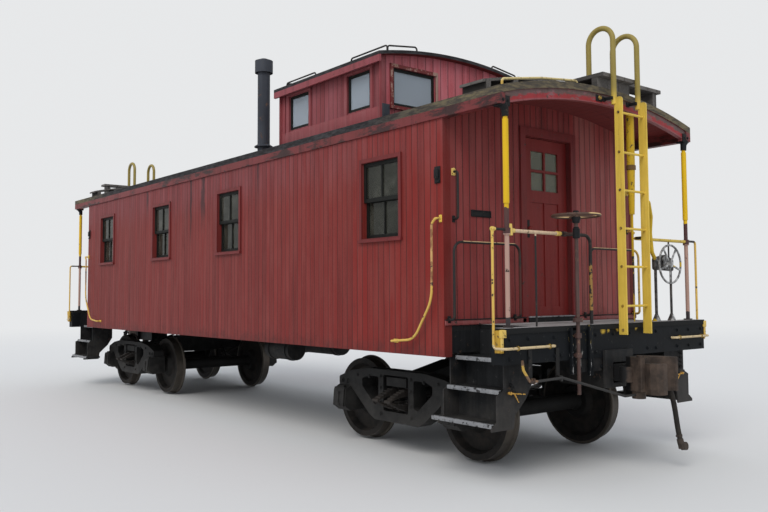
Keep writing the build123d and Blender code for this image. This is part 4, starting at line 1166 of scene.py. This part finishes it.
@dataclass
class AirHose:
    """The rubber hose that hangs from a platform's angle cock."""

    end: End
    thick: float = 0.046
    length: float = 0.57
    route: tuple[Point, ...] = (
        (5.4400, 0.360, 0.800), (5.4948, 0.361, 0.735), (5.5298, 0.365, 0.655), (5.5498, 0.370, 0.560),
        (5.5618, 0.376, 0.455), (5.5718, 0.383, 0.350), (5.5848, 0.391, 0.262),
    )

    def build(self) -> None:
        """Draws the hose on its route."""
        name = "air_hose_" + self.end.label
        points = [self.end.turn @ Vector(p) for p in self.route]
        line = bpy.data.curves.new(name, "CURVE")
        line.dimensions = "3D"
        run = line.splines.new("NURBS")
        run.points.add(len(points) - 1)
        for spot, point in zip(run.points, points):
            spot.co = (*point, 1.0)
        run.order_u = 3
        run.use_endpoint_u = True
        run.resolution_u = 10
        line.bevel_depth = self.thick / 2
        line.bevel_resolution = 6
        line.use_fill_caps = True
        hose = bpy.data.objects.new(name, line)
        bpy.context.collection.objects.link(hose)
        RUBBER.dress(hose)
        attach(hose, "carbody")
        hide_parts("air_hoses")
        LOG.info("built %s", name)


# Modelling with Blender's own tools


MIRROR_SIDE = Matrix.Scale(-1.0, 4, (0.0, 1.0, 0.0))
SIDES = (Matrix.Identity(4), MIRROR_SIDE)
ENDS = tuple(end.turn for end in End)
CORNERS = tuple(turn @ side for turn in ENDS for side in SIDES)


def deselect() -> None:
    """Leaves nothing selected, so that an operator acts only on its own piece."""
    bpy.ops.object.select_all(action="DESELECT")


def settle() -> Piece:
    """Moves the active piece's place into its mesh, and gives the piece."""
    bpy.ops.object.transform_apply(location=True, rotation=True, scale=True)
    return bpy.context.object


def pick_faces(piece: Piece, wanted: Callable[[bpy.types.MeshPolygon], bool]) -> None:
    """Enters edit mode with only the wanted faces selected.

    Args:
        piece: The mesh.
        wanted: Tells which faces to select.
    """
    bpy.ops.object.mode_set(mode="EDIT")
    bpy.ops.mesh.select_mode(type="FACE")
    bpy.ops.mesh.select_all(action="DESELECT")
    bpy.ops.object.mode_set(mode="OBJECT")
    for face in piece.data.polygons:
        face.select = wanted(face)
    bpy.ops.object.mode_set(mode="EDIT")


def leave_edit() -> None:
    """Goes back to object mode."""
    bpy.ops.object.mode_set(mode="OBJECT")


def board(low: Point, high: Point, edge: float = 0.003) -> Piece:
    """A sawn board or plate with eased edges.

    Args:
        low: Its lowest corner.
        high: Its highest corner.
        edge: How much its edges are eased.

    Returns:
        The board.
    """
    deselect()
    middle = [(a + b) / 2 for a, b in zip(low, high)]
    span = [abs(b - a) for a, b in zip(low, high)]
    bpy.ops.mesh.primitive_cube_add(size=1.0, location=middle, scale=span)
    piece = settle()
    bpy.ops.object.mode_set(mode="EDIT")
    bpy.ops.mesh.select_all(action="SELECT")
    bpy.ops.mesh.bevel(offset=min(edge, 0.3 * min(span)), segments=2, affect="EDGES")
    leave_edit()
    return piece


def bar(start: Point, end: Point, radius: float, sides: int = 14, end_radius: float = 0.0) -> Piece:
    """A round bar between two points with eased rims.

    Args:
        start: The middle of its first end.
        end: The middle of its last end.
        radius: Its radius.
        sides: How many flats stand for its round.
        end_radius: Its last end's radius, if that differs.

    Returns:
        The bar.
    """
    deselect()
    first, last = Vector(start), Vector(end)
    turn = (last - first).to_track_quat("Z", "Y").to_euler()
    bpy.ops.mesh.primitive_cone_add(
        vertices=sides, radius1=radius, radius2=end_radius or radius, depth=(last - first).length,
        location=(first + last) / 2, rotation=turn,
    )
    piece = settle()
    pick_faces(piece, lambda face: len(face.vertices) > 4)
    bpy.ops.mesh.inset(thickness=radius * 0.18, depth=radius * 0.1)
    leave_edit()
    return piece


def sink(piece: Piece, way: Point, rim: float, depth: float) -> None:
    """Sinks the faces that look one way, inside a rim.

    Args:
        piece: The piece.
        way: Where the faces look.
        rim: The rim's width.
        depth: How deep they sink.
    """
    pick_faces(piece, lambda face: face.normal.dot(way) > 0.9)
    bpy.ops.mesh.inset(thickness=rim, depth=0.0)
    bpy.ops.mesh.extrude_region_move(TRANSFORM_OT_translate={"value": [-depth * part for part in way]})
    leave_edit()


def ring(centre: Point, turn: Point, radius: float, thick: float, stretch: float = 1.0) -> Piece:
    """A round link or band.

    Args:
        centre: Its centre.
        turn: Its turn, in degrees about each axis.
        radius: The radius of its bar's middle line.
        thick: Its bar's radius.
        stretch: How much longer it is along its own X.

    Returns:
        The ring.
    """
    deselect()
    bpy.ops.mesh.primitive_torus_add(
        major_radius=radius, minor_radius=thick, major_segments=20, minor_segments=8, location=centre,
        rotation=[math.radians(a) for a in turn],
    )
    bpy.context.object.scale = (stretch, 1.0, 1.0)
    return settle()


def join(pieces: list[Piece]) -> Piece:
    """Joins pieces into one mesh.

    Args:
        pieces: The pieces to join.

    Returns:
        The joined piece.
    """
    deselect()
    for piece in pieces:
        piece.select_set(True)
    bpy.context.view_layer.objects.active = pieces[0]
    if len(pieces) > 1:
        bpy.ops.object.join()
    return bpy.context.object


def copied(pattern: Piece, places: Iterable[Matrix]) -> Piece:
    """Copies a pattern to each place and joins the copies.

    Args:
        pattern: The finished piece, which is used up.
        places: Where each copy stands.

    Returns:
        The joined copies.
    """
    copies = []
    for place in places:
        copy = pattern.copy()
        copy.data = pattern.data.copy()
        copy.data.transform(place)
        if place.determinant() < 0:
            copy.data.flip_normals()
        bpy.context.collection.objects.link(copy)
        copies.append(copy)
    bpy.data.objects.remove(pattern)
    return join(copies)


def at(spot: Point, facing: str = "+X", turn: float = 0.0) -> Matrix:
    """A place for a bolt, whose head faces an axis.

    Args:
        spot: Where its foot stands.
        facing: The axis that its head faces, such as -Y.
        turn: Its turn about that axis, in degrees.

    Returns:
        The placing matrix.
    """
    way = Vector([float(axis == facing[1]) for axis in "XYZ"]) * float(facing[0] + "1")
    swing = Vector((1, 0, 0)).rotation_difference(way).to_matrix().to_4x4()
    return Matrix.Translation(spot) @ swing @ Matrix.Rotation(math.radians(turn), 4, "X")


def spread(turns: Iterable[Matrix], places: Iterable[Matrix]) -> list[Matrix]:
    """Every place at every end, side or corner."""
    places = list(places)
    return [turn @ place for turn in turns for place in places]


def moved(spots: Iterable[Point]) -> list[Matrix]:
    """A place for each spot, unturned."""
    return [Matrix.Translation(spot) for spot in spots]


def bolts(size: float, places: Iterable[Matrix]) -> Piece:
    """Hexagon bolt heads on washers.

    Args:
        size: The radius of a head.
        places: Their places, whose X is the way that the head faces.

    Returns:
        The bolts in one piece.
    """
    washer = bar((-0.001, 0.0, 0.0), (size * 0.25, 0.0, 0.0), size * 1.55, 12)
    deselect()
    bpy.ops.mesh.primitive_cylinder_add(
        vertices=6, radius=size, depth=size * 0.8, location=(size * 0.6, 0.0, 0.0),
        rotation=(0.0, math.pi / 2, 0.0),
    )
    head = settle()
    pick_faces(head, lambda face: face.normal.x > 0.9)
    bpy.ops.mesh.inset(thickness=size * 0.16, depth=size * 0.12)
    leave_edit()
    return copied(join([head, washer]), places)


def fit(name: str, finish: Finish, pieces: list[Piece], places: Iterable[Matrix] = SIDES[:1],
        body: str = "carbody") -> None:
    """Joins pieces, copies them to their places, dresses them and lets them ride on a body.

    Args:
        name: The name of the piece that they become.
        finish: Its finish.
        pieces: The finished meshes, which are used up.
        places: Where each copy stands.
        body: The body that carries it.
    """
    piece = copied(join(pieces), places)
    piece.name = piece.data.name = name
    bpy.ops.object.shade_smooth_by_angle(angle=SEEN_ANGLE)
    finish.dress(piece)
    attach(piece, body)
    LOG.info("built %s", name)


# Fittings of the carbody


@dataclass
class CupolaTrim:
    """Flat boards round the cupola's windows and corners, and what seals its foot."""

    rear: float = 1.262
    front: float = 3.190
    half_y: float = 1.044
    foot: float = 3.324
    sill: float = 3.482
    head: float = 3.985
    thick: float = 0.012
    windows: tuple[Pair, ...] = ((1.431, 1.841), (2.598, 2.998))
    strips: int = 8
    strip: float = 0.1305

    def side(self) -> list[Piece]:
        """The left side's boards: corners, window stiles, foot rail and window heads.

        Returns:
            The boards.
        """
        out, face = -self.half_y - self.thick, -self.half_y
        spans = [(self.rear - 0.012, self.rear + 0.07), (self.front - 0.07, self.front + 0.012)]
        for low, high in self.windows:
            spans += [(low - 0.05, low - 0.004), (high + 0.004, high + 0.05)]
        boards = [board((a, out, self.foot + 0.004), (b, face, self.head)) for a, b in spans]
        boards.append(board((self.rear, out - 0.003, self.foot), (self.front, face, self.sill), 0.004))
        return boards + [
            board((low - 0.05, out - 0.002, 3.912), (high + 0.05, face, 3.96)) for low, high in self.windows
        ]

    def corners(self) -> list[Piece]:
        """The front end's corner boards.

        Returns:
            The boards.
        """
        return [
            board((self.front, y - 0.04, self.foot), (self.front + 0.013, y + 0.04, 3.99))
            for y in (-self.half_y, self.half_y)
        ]

    def flashing(self) -> list[Piece]:
        """Tarred strips where the cupola meets the roof, and a repair plate on the corner's foot.

        Returns:
            The strips and the plate.
        """
        x, y = self.front, -self.half_y
        strips = [board((self.rear - 0.02, y - self.thick - 0.030, 3.318), (x + 0.03, y, 3.345), 0.006)]
        for k in range(self.strips):
            y0, y1 = y + self.strip * k, y + self.strip * (k + 1)
            roof = ROOF_CROWN - (y1 * y1) / (2 * ROOF_RADIUS)
            strips.append(board((x, y0, roof - 0.02), (x + 0.030, y1, roof + 0.014), 0.004))
        strips.append(board((x + 0.0105, y - 0.008, 3.335), (x + 0.0165, y + 0.092, 3.505), 0.002))
        return strips

    def build(self) -> None:
        """Builds the trim of both sides and both ends, and the flashing."""
        turned = Matrix.Translation((self.rear + self.front, 0.0, 0.0)) @ End.REAR.turn
        quarters = spread((SIDES[0], turned), SIDES)
        fit("cupola_flashing", STACK_BLACK, self.flashing(), quarters)
        fit("cupola_side_trim", TRIM_BRIGHT, self.side(), SIDES)
        fit("cupola_end_trim", TRIM_BRIGHT, self.corners(), (SIDES[0], turned))


@dataclass
class WallFittings:
    """Blank plates, marker brackets, skirting and feet of the grab irons on the walls."""

    left: float = -BODY_SIDE
    skirts: tuple[Pair, Pair] = ((-1.398, -0.362), (0.362, 1.398))
    skirt_z: tuple[float, float, float] = (1.2795, 1.322, 1.331)

    def marker_bracket(self) -> list[Piece]:
        """The lamp bracket near the wall's corner: a back plate, a loop that stands off it and a foot.

        Returns:
            The bracket's parts.
        """
        y = self.left
        return [
            board((4.376, y - 0.009, 2.515), (4.448, y, 2.665), 0.014),
            board((4.386, y - 0.026, 2.560), (4.438, y - 0.018, 2.640)),
            *(board((x, y - 0.024, 2.565), (x + 0.008, y - 0.004, 2.635), 0.002) for x in (4.386, 4.430)),
            board((4.400, y - 0.020, 2.522), (4.446, y - 0.006, 2.536)),
        ]

    def build(self) -> None:
        """Builds them at both ends and on both sides."""
        x, (foot, top, strip) = BODY_END, self.skirt_z
        plate = board((x, -1.068, 2.238), (x + 0.012, -0.815, 2.300), 0.004)
        sink(plate, (1.0, 0.0, 0.0), 0.009, 0.005)
        fit("blank_plates", BLACK_STEEL, [plate], ENDS)
        fit("marker_brackets", BLACK_STEEL, self.marker_bracket(), CORNERS)
        skirts = [board((x, a, foot), (x + 0.016, b, top), 0.004) for a, b in self.skirts]
        fit("skirting_boards", SKIRT_RED, skirts, ENDS)
        # A black strip over each skirting board: a painted shadow line where the skirting meets the wall
        shadow_strips = [board((x, a, top), (x + 0.022, b, strip), 0.002) for a, b in self.skirts]
        fit("skirting_strips", BLACK_STEEL, shadow_strips, ENDS)
        flange = board((-0.005, -0.032, -0.017), (0.007, 0.032, 0.017), 0.006)
        heads = bolts(0.008, moved((0.006, y, 0.0) for y in (-0.021, 0.021)))
        places = [at((4.445, self.left, 2.205), "-Y", 90), at((3.830, self.left, 1.124), "-Y", 0)]
        fit("side_grab_feet", YELLOW_STEEL, [flange, heads], spread(CORNERS, places))
        flange = board((-0.005, -0.017, -0.03), (0.006, 0.017, 0.03), 0.006)
        spots = [(x + 0.014, -1.357, 1.33), (x + 0.014, -0.52, 1.33), (x, -1.28, 2.205)]
        fit("wall_grab_feet", BLACK_STEEL, [flange], spread(CORNERS, moved(spots)))
        clamp = board((-0.005, -0.022, -0.032), (0.012, 0.022, 0.032), 0.008)
        heads = bolts(0.009, moved((0.010, 0.0, z) for z in (-0.019, 0.022)))
        fit("upper_grab_clamps", KNOB_YELLOW, [clamp, heads], spread(CORNERS, moved([(x, -1.28, 2.62)])))


@dataclass
class PostBrackets:
    """The bent black castings that carry the roof's corners on the posts."""

    sleeve_top: float = 3.005
    eave: float = 3.087

    def build(self) -> None:
        """Models one corner's casting and copies it to all four."""
        x, y, low, high = POST_X, -POST_Y, self.sleeve_top, self.eave
        fit("post_brackets", BLACK_STEEL, [
            bar((x, y, low - 0.01), (x, y - 0.004, low + 0.06), 0.029, 16, 0.031),
            bar((x, y - 0.002, low + 0.045), (x, y - 0.03, high + 0.002), 0.03, 16, 0.036),
            board((x - 0.06, y - 0.075, high - 0.016), (5.152, y + 0.03, high + 0.004), 0.004),
            board((5.149, y - 0.072, high - 0.012), (5.1625, y + 0.038, high + 0.075), 0.004),
            bolts(0.010, [at((5.161, y + dy, high + 0.035), "+X", 20) for dy in (-0.045, 0.012)]),
        ], CORNERS)


@dataclass
class RailFittings:
    """Pipe fittings of the end railing, and the brake staff's nut, hub and collars."""

    rail_z: float = 2.062
    grab_y: float = -1.492

    def build(self) -> None:
        """Builds the grab iron's knob, the post's tee, the left rail's end and the staff's fittings."""
        x, z, grab, post = POST_X, self.rail_z, self.grab_y, -POST_Y
        fit("rail_fittings", KNOB_YELLOW, [
            bar((x, grab - 0.010, z + 0.006), (x, grab + 0.030, z + 0.006), 0.018, 14, 0.015),
            bar((x, grab + 0.003, z + 0.022), (x, grab + 0.001, z - 0.030), 0.0145, 14, 0.0125),
            bar((x, post + 0.026, z), (x, post + 0.085, z), 0.026, 16, 0.019),
            bar((x + 0.012, post + 0.030, z - 0.040), (x + 0.012, post + 0.030, z + 0.052), 0.020, 14, 0.014),
            bar((x, -0.705, z), (x, -0.650, z), 0.0215, 16, 0.018),
        ], ENDS)
        fit("brake_wheel_nuts", BLACK_STEEL, [
            bolts(0.025, [at((*STAFF, 2.226), "+Z", 10)]),
            *(bar((*STAFF, low), (*STAFF, high), radius, 18, top) for low, high, radius, top in (
                (2.150, 2.196, 0.030, 0.040), (2.020, 2.098, 0.031, 0.0), (2.098, 2.112, 0.024, 0.0),
            )),
        ], ENDS)


@dataclass
class LadderFittings:
    """Bolts on the ladder's bars, and the plates that hold it to the roof."""

    bar_x: float = 5.277
    bar_y: Pair = (0.035, 0.408)
    rungs: tuple[float, ...] = (1.434, 1.788, 2.132, 2.479, 2.826, 3.190)
    foot: float = 1.22

    def build(self) -> None:
        """Builds the bolts, eye bolts and roof plates."""
        left, right = self.bar_y
        faces = ((left - 0.007, "-Y"), (right + 0.007, "+Y"))
        places = [at((self.bar_x, y, z), way, 15) for z in self.rungs for y, way in faces]
        places += [at((self.bar_x, y, self.foot), way, 30) for y, way in faces]
        fit("rung_bolts", BOLT_YELLOW, [bolts(0.009, spread(ENDS, places))])
        arms = [board((5.148, y - 0.045, 3.308), (5.237, y - 0.036, 3.338)) for y in self.bar_y]
        arms += [board((5.149, y - 0.075, 3.300), (5.1605, y - 0.03, 3.345), 0.004) for y in self.bar_y]
        arms += [board((5.228, y - 0.042, 3.308), (5.238, y + 0.004, 3.338)) for y in self.bar_y]
        arms.append(board((5.149, left - 0.165, 3.292), (5.1575, left - 0.078, 3.352), 0.004))
        fit("ladder_roof_plates", BLACK_STEEL, arms, ENDS)
        y, z = left - 0.122, 3.324
        eye = [ring((5.168, y, z), (0, 90, 0), 0.016, 0.006), bar((5.156, y, z), (5.170, y, z), 0.009, 12)]
        fit("ladder_eye_bolts", BOLT_YELLOW, eye, ENDS)


@dataclass
class EndSillFittings:
    """What is bolted to the end sill's faces."""

    face: float = 5.225
    left: float = -1.460
    low_face: float = 5.210
    rows: tuple[float, ...] = (-1.40, -1.18, -0.86, 0.62, 0.98, 1.18, 1.40)
    strays: tuple[Pair, ...] = (
        (-0.30, 1.04), (-0.30, 1.19), (-0.78, 1.04), (0.20, 1.19), (-0.05, 1.19), (0.48, 1.04),
        (-0.50, 0.91), (-0.34, 0.91), (-0.21, 0.91), (0.17, 0.91),
    )

    def pocket(self) -> Piece:
        """The yellow stake pocket on the sill's end: a box with an open top and a pointed foot.

        Returns:
            The pocket.
        """
        pocket = board((5.150, self.left - 0.034, 1.082), (5.222, self.left, 1.262), 0.006)
        sink(pocket, (0.0, 0.0, 1.0), 0.008, 0.1)
        pick_faces(pocket, lambda face: face.normal.z < -0.9)
        bpy.ops.transform.resize(value=(0.45, 0.6, 1.0), center_override=(5.190, self.left - 0.01, 1.082))
        leave_edit()
        return pocket

    def build(self) -> None:
        """Builds the pockets with bright lips, the staff's guides, the bolts and the irons' clips."""
        x, y = self.face, self.left
        fit("stake_pockets", POCKET_YELLOW, [self.pocket()], CORNERS)
        fit("stake_pocket_lips", KNOB_YELLOW, [
            board((5.205, y - 0.040, 1.205), (5.236, y + 0.016, 1.268), 0.005),
            board((5.217, y - 0.037, 1.100), (5.229, y - 0.012, 1.21)),
        ], CORNERS)
        fit("staff_guides", SILL_BLACK, [
            board((x, -0.655, 0.872), (x + 0.012, -0.545, 1.262), 0.004),
            board((x, -0.667, 0.872), (x + 0.032, -0.650, 1.262), 0.004),
            board((x, -0.550, 0.872), (x + 0.022, -0.536, 1.262), 0.004),
            board((x, -0.425, 0.845), (x + 0.030, -0.375, 1.282), 0.006),
            board((x, -0.72, 1.236), (x + 0.012, -0.34, 1.262)),
        ], ENDS)
        spots = [(y, z) for y in self.rows for z in (1.035, 1.19)] + list(self.strays)
        places = [at((x if z > 0.95 else self.low_face, y, z), "+X", 37 * y) for y, z in spots]
        fit("sill_bolts", SILL_BLACK, [bolts(0.012, spread(ENDS, places))])
        clips = []
        for y in (-0.962, -1.345):
            clips += [bar((x, y, 1.12), (x + 0.034, y, 1.12), 0.010, 12),
                      ring((x + 0.037, y, 1.12), (90, 0, 0), 0.0155, 0.0055)]
        fit("sill_grab_clips", BOLT_YELLOW, clips, CORNERS)


@dataclass
class StepFittings:
    """Yellow hooks with short chains on the step plates, and worn nosings on the treads."""

    plate_x: float = 5.0805
    nosings: tuple[tuple[float, float, float, float], ...] = (
        (4.357, 5.064, -1.4485, 0.507), (4.461, 5.064, -1.3605, 0.770), (4.461, 5.064, -1.2555, 1.014),
    )

    def build(self) -> None:
        """Builds the hooks, what they hang from, the long chains and the nosings."""
        x, y, z = self.plate_x, -1.245, 0.812
        links = [
            ring(
                (x + 0.016, y + 0.013 + 0.012 * k, z - 0.012 - 0.021 * k), (20, 90 if k % 2 else 20, 0),
                0.009, 0.0028, 1.5,
            )
            for k in range(4)
        ]
        links += [
            ring((x + 0.012, y, z), (90, 0, 0), 0.014, 0.005), bar((x, y, z), (x + 0.012, y, z), 0.010, 10),
        ]
        fit("step_hooks", HOOK_YELLOW, [
            bar((x + 0.018, -1.262, 0.748), (x + 0.020, -1.085, 0.728), 0.007, 10, 0.005),
            bar((x + 0.018, -1.215, 0.742), (x + 0.016, -1.160, 0.668), 0.0065, 10, 0.0045),
            bar((x, -1.262, 0.748), (x + 0.03, -1.262, 0.748), 0.012, 12),
        ], CORNERS)
        fit("step_hook_links", BLACK_STEEL, links, CORNERS)
        fit("step_hook_chains", BLACK_STEEL, [
            ring(
                (x + 0.015, 1.238 + 0.006 * math.sin(k), 0.985 - 0.0205 * k), (15, 90 if k % 2 else 15, 0),
                0.010, 0.003, 1.5,
            )
            for k in range(9)
        ], ENDS)
        fit("step_nosings", WORN_NOSE, [
            board((x0, y - 0.004, z - 0.030), (x1, y + 0.030, z + 0.004), 0.004)
            for x0, x1, y, z in self.nosings
        ], CORNERS)


@dataclass
class HoseClamps:
    """Band clamps at the two ends of each air hose."""

    clamps: tuple[tuple[Point, Point], ...] = (
        ((5.4565, 0.3605, 0.779), (0.0548, 0.001, -0.065)),
        ((5.5805, 0.3890, 0.291), (0.013, 0.008, -0.088)),
    )

    def clamp(self, spot: Point, way: Point) -> list[Piece]:
        """One band with its bolt ears.

        Args:
            spot: The clamp's middle.
            way: The direction of the hose there.

        Returns:
            The band and its ears.
        """
        deselect()
        turn = Vector(way).to_track_quat("Z", "Y").to_euler()
        bpy.ops.mesh.primitive_cylinder_add(
            vertices=28, radius=0.0262, depth=0.022, location=spot, rotation=turn,
        )
        band = settle()
        pick_faces(band, lambda face: len(face.vertices) > 4)
        bpy.ops.mesh.inset(thickness=0.0026, depth=0.0)
        bpy.ops.mesh.delete(type="FACE")
        leave_edit()
        side = Vector(way).normalized().cross(Vector((1, 0, 0))).normalized()
        base, half = Vector(spot) + side * 0.026, Vector((0.016, 0, 0))
        return [
            band, bar(base - half, base + half, 0.007, 10),
            bar(base - side * 0.004, base + side * 0.012, 0.009, 8),
        ]

    def build(self) -> None:
        """Builds both ends' clamps."""
        for end in End:
            pieces = [piece for spot, way in self.clamps for piece in self.clamp(spot, way)]
            fit("hose_clamps_" + end.label, FITTING_IRON, pieces, [end.turn])


@dataclass
class DoorFittings:
    """Risers and thresholds under the doors, and a latch plate on each leaf."""

    low: Pair = (4.444, -0.335)
    high_y: float = 0.335
    levels: tuple[float, float, float] = (1.2795, 1.323, 1.334)

    def build(self) -> None:
        """Builds the thresholds on the carbody and the latch plates on the doors."""
        foot, top, sill = self.levels
        fit("door_risers", BLACK_STEEL, [board((*self.low, foot), (4.506, self.high_y, top))], ENDS)
        fit("door_thresholds", WORN_NOSE, [board((*self.low, top), (4.516, self.high_y, sill))], ENDS)
        for end in End:
            plate = board((4.4335, -0.300, 2.085), (4.4385, -0.235, 2.255), 0.004)
            fit("latch_plate_" + end.label, BLACK_STEEL, [plate], [end.turn], "door_" + end.label)


@dataclass
class TruckFittings:
    """Bolts and lid ribs on a truck's side frames."""

    end: End
    centre_x: float = 3.400
    face: float = -1.060
    lid_face: float = -1.147
    half_base: float = 0.838

    def spots(self, xs: Iterable[float], zs: Iterable[float]) -> list[Point]:
        """Spots on the near side frame, from the truck's middle."""
        return [(self.centre_x + x, self.face, AXLE_Z + z) for x in xs for z in zs]

    def build(self) -> None:
        """Builds the fittings of both side frames of one truck."""
        small = [
            at(spot, "-Y", 25 * (spot[2] - AXLE_Z))
            for spot in self.spots((-0.233, 0.233), (-0.085, 0.03, 0.17, 0.285))
        ]
        small += [at(spot, "-Y", 11) for spot in self.spots((-0.62, 0.62, -0.42, 0.42), [0.27])]
        wheels = (-self.half_base, self.half_base)
        beside = [x + dx for x in wheels for dx in (-0.045, 0.045)]
        large = [at(spot, "-Y", 30) for spot in self.spots(beside, [0.196])]
        sides = spread([self.end.turn], SIDES)
        body = "truck_" + self.end.label
        heads = [bolts(0.013, spread(sides, small)), bolts(0.017, spread(sides, large))]
        fit(body + "_bolts", TRUCK_IRON, heads, body=body)
        ribs = []
        for x in (self.centre_x + wheel for wheel in wheels):
            y = self.lid_face
            ribs += [
                board((x - 0.012, y - 0.014, AXLE_Z - 0.05), (x + 0.012, y + 0.012, AXLE_Z + 0.085), 0.005),
                board((x - 0.03, y - 0.018, AXLE_Z - 0.062), (x + 0.03, y + 0.012, AXLE_Z - 0.035), 0.006),
            ]
        fit(body + "_lid_ribs", TRUCK_IRON, ribs, sides, body)


# Camera, light and floor


@dataclass
class Studio:
    """A pale floor, soft light and the photograph's camera."""

    spot: Point = (9.610, -6.188, 1.561)
    heading: float = 51.167
    tilt: float = 3.469
    roll: float = -0.294
    focal: float = 811.79
    middle: Pair = (384.46, 243.87)
    frame: tuple[int, int] = (768, 512)
    sensor: float = 36.0
    backdrop: Colour = (0.80, 0.81, 0.82)
    sky: Colour = (0.72, 0.76, 0.82)
    ground: Colour = (0.66, 0.66, 0.655)
    sun: Colour = (1.0, 0.97, 0.93)

    @staticmethod
    def seen(graph: Graph) -> Value:
        """1 for the rays that show the background and 0 for those that light the object.

        Args:
            graph: The world's graph.

        Returns:
            The rays' number.
        """
        path = graph.node("ShaderNodeLightPath").outputs
        camera, glossy, through = (
            Value(graph, path[f"Is {kind} Ray"]) for kind in ("Camera", "Glossy", "Transmission")
        )
        return camera | (glossy | through)

    def camera(self) -> None:
        """Places the camera where the photograph was taken."""
        bpy.ops.object.camera_add(location=(0.0, 0.0, 0.0))
        eye = bpy.context.object
        eye.name = "photo_camera"
        place = Matrix.Translation(self.spot)
        for angle, axis in ((self.heading, "Z"), (90.0 + self.tilt, "X"), (self.roll, "Z")):
            place = place @ Matrix.Rotation(math.radians(angle), 4, axis)
        eye.matrix_world = place
        wide, high = self.frame
        eye.data.sensor_width = self.sensor
        eye.data.lens = self.sensor * self.focal / wide
        eye.data.shift_x = (wide / 2 - self.middle[0]) / wide
        eye.data.shift_y = (self.middle[1] - high / 2) / wide
        eye.data.clip_end = 400.0
        bpy.context.scene.camera = eye

    def light(self) -> None:
        """Adds an even sky and a soft sun."""
        world = bpy.data.worlds.new("soft_sky")
        graph = cleared(world)
        feeds = {"Color": self.seen(graph).mix(self.sky, self.backdrop), "Strength": 1.0}
        graph.node("ShaderNodeOutputWorld", {"Surface": graph.value("ShaderNodeBackground", feeds)})
        bpy.context.scene.world = world
        bpy.ops.object.light_add(type="SUN", rotation=(math.radians(46.0), 0.0, math.radians(32.0)))
        sun = bpy.context.object
        sun.name = "soft_sun"
        sun.data.energy = 1.5
        sun.data.angle = math.radians(35.0)
        sun.data.color = self.sun

    def floor(self) -> None:
        """Lays a plain pale floor under the wheels, which fades into the background far off."""
        bpy.ops.mesh.primitive_plane_add(size=240.0, location=(0.0, 0.0, -0.001))
        floor = bpy.context.object
        floor.name = "studio_floor"
        made = bpy.data.materials.new("studio_floor")
        graph = cleared(made)
        near = graph.value("ShaderNodeBsdfPrincipled", {"Base Color": self.ground, "Roughness": 0.9})
        length = graph.node("ShaderNodeVectorMath", {0: graph.place("Object")}, operation="LENGTH")
        far = Value(graph, length.outputs["Value"]).step(9.0, 34.0) * self.seen(graph)
        glow = graph.value("ShaderNodeEmission", {"Color": self.backdrop, "Strength": 1.0})
        blend = graph.value("ShaderNodeMixShader", {0: far, 1: near, 2: glow})
        graph.node("ShaderNodeOutputMaterial", {"Surface": blend})
        floor.data.materials.append(made)

    def build(self) -> None:
        """Sets the scene up."""
        bpy.context.scene.view_settings.view_transform = "Standard"
        self.camera()
        self.light()
        self.floor()
        LOG.info("set camera, light and floor")


def main() -> None:
    """Builds the dressed caboose."""
    logging.basicConfig(level=logging.INFO, format="%(name)s: %(message)s")
    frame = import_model()
    for part in (
        Studio(), AirHose(End.FRONT), AirHose(End.REAR), CadDressing(frame["nodes"]), CupolaTrim(),
        WallFittings(),
        PostBrackets(), RailFittings(), LadderFittings(), EndSillFittings(), StepFittings(), HoseClamps(),
        DoorFittings(), TruckFittings(End.FRONT), TruckFittings(End.REAR),
    ):
        part.build()


if __name__ == "__main__":
    main()
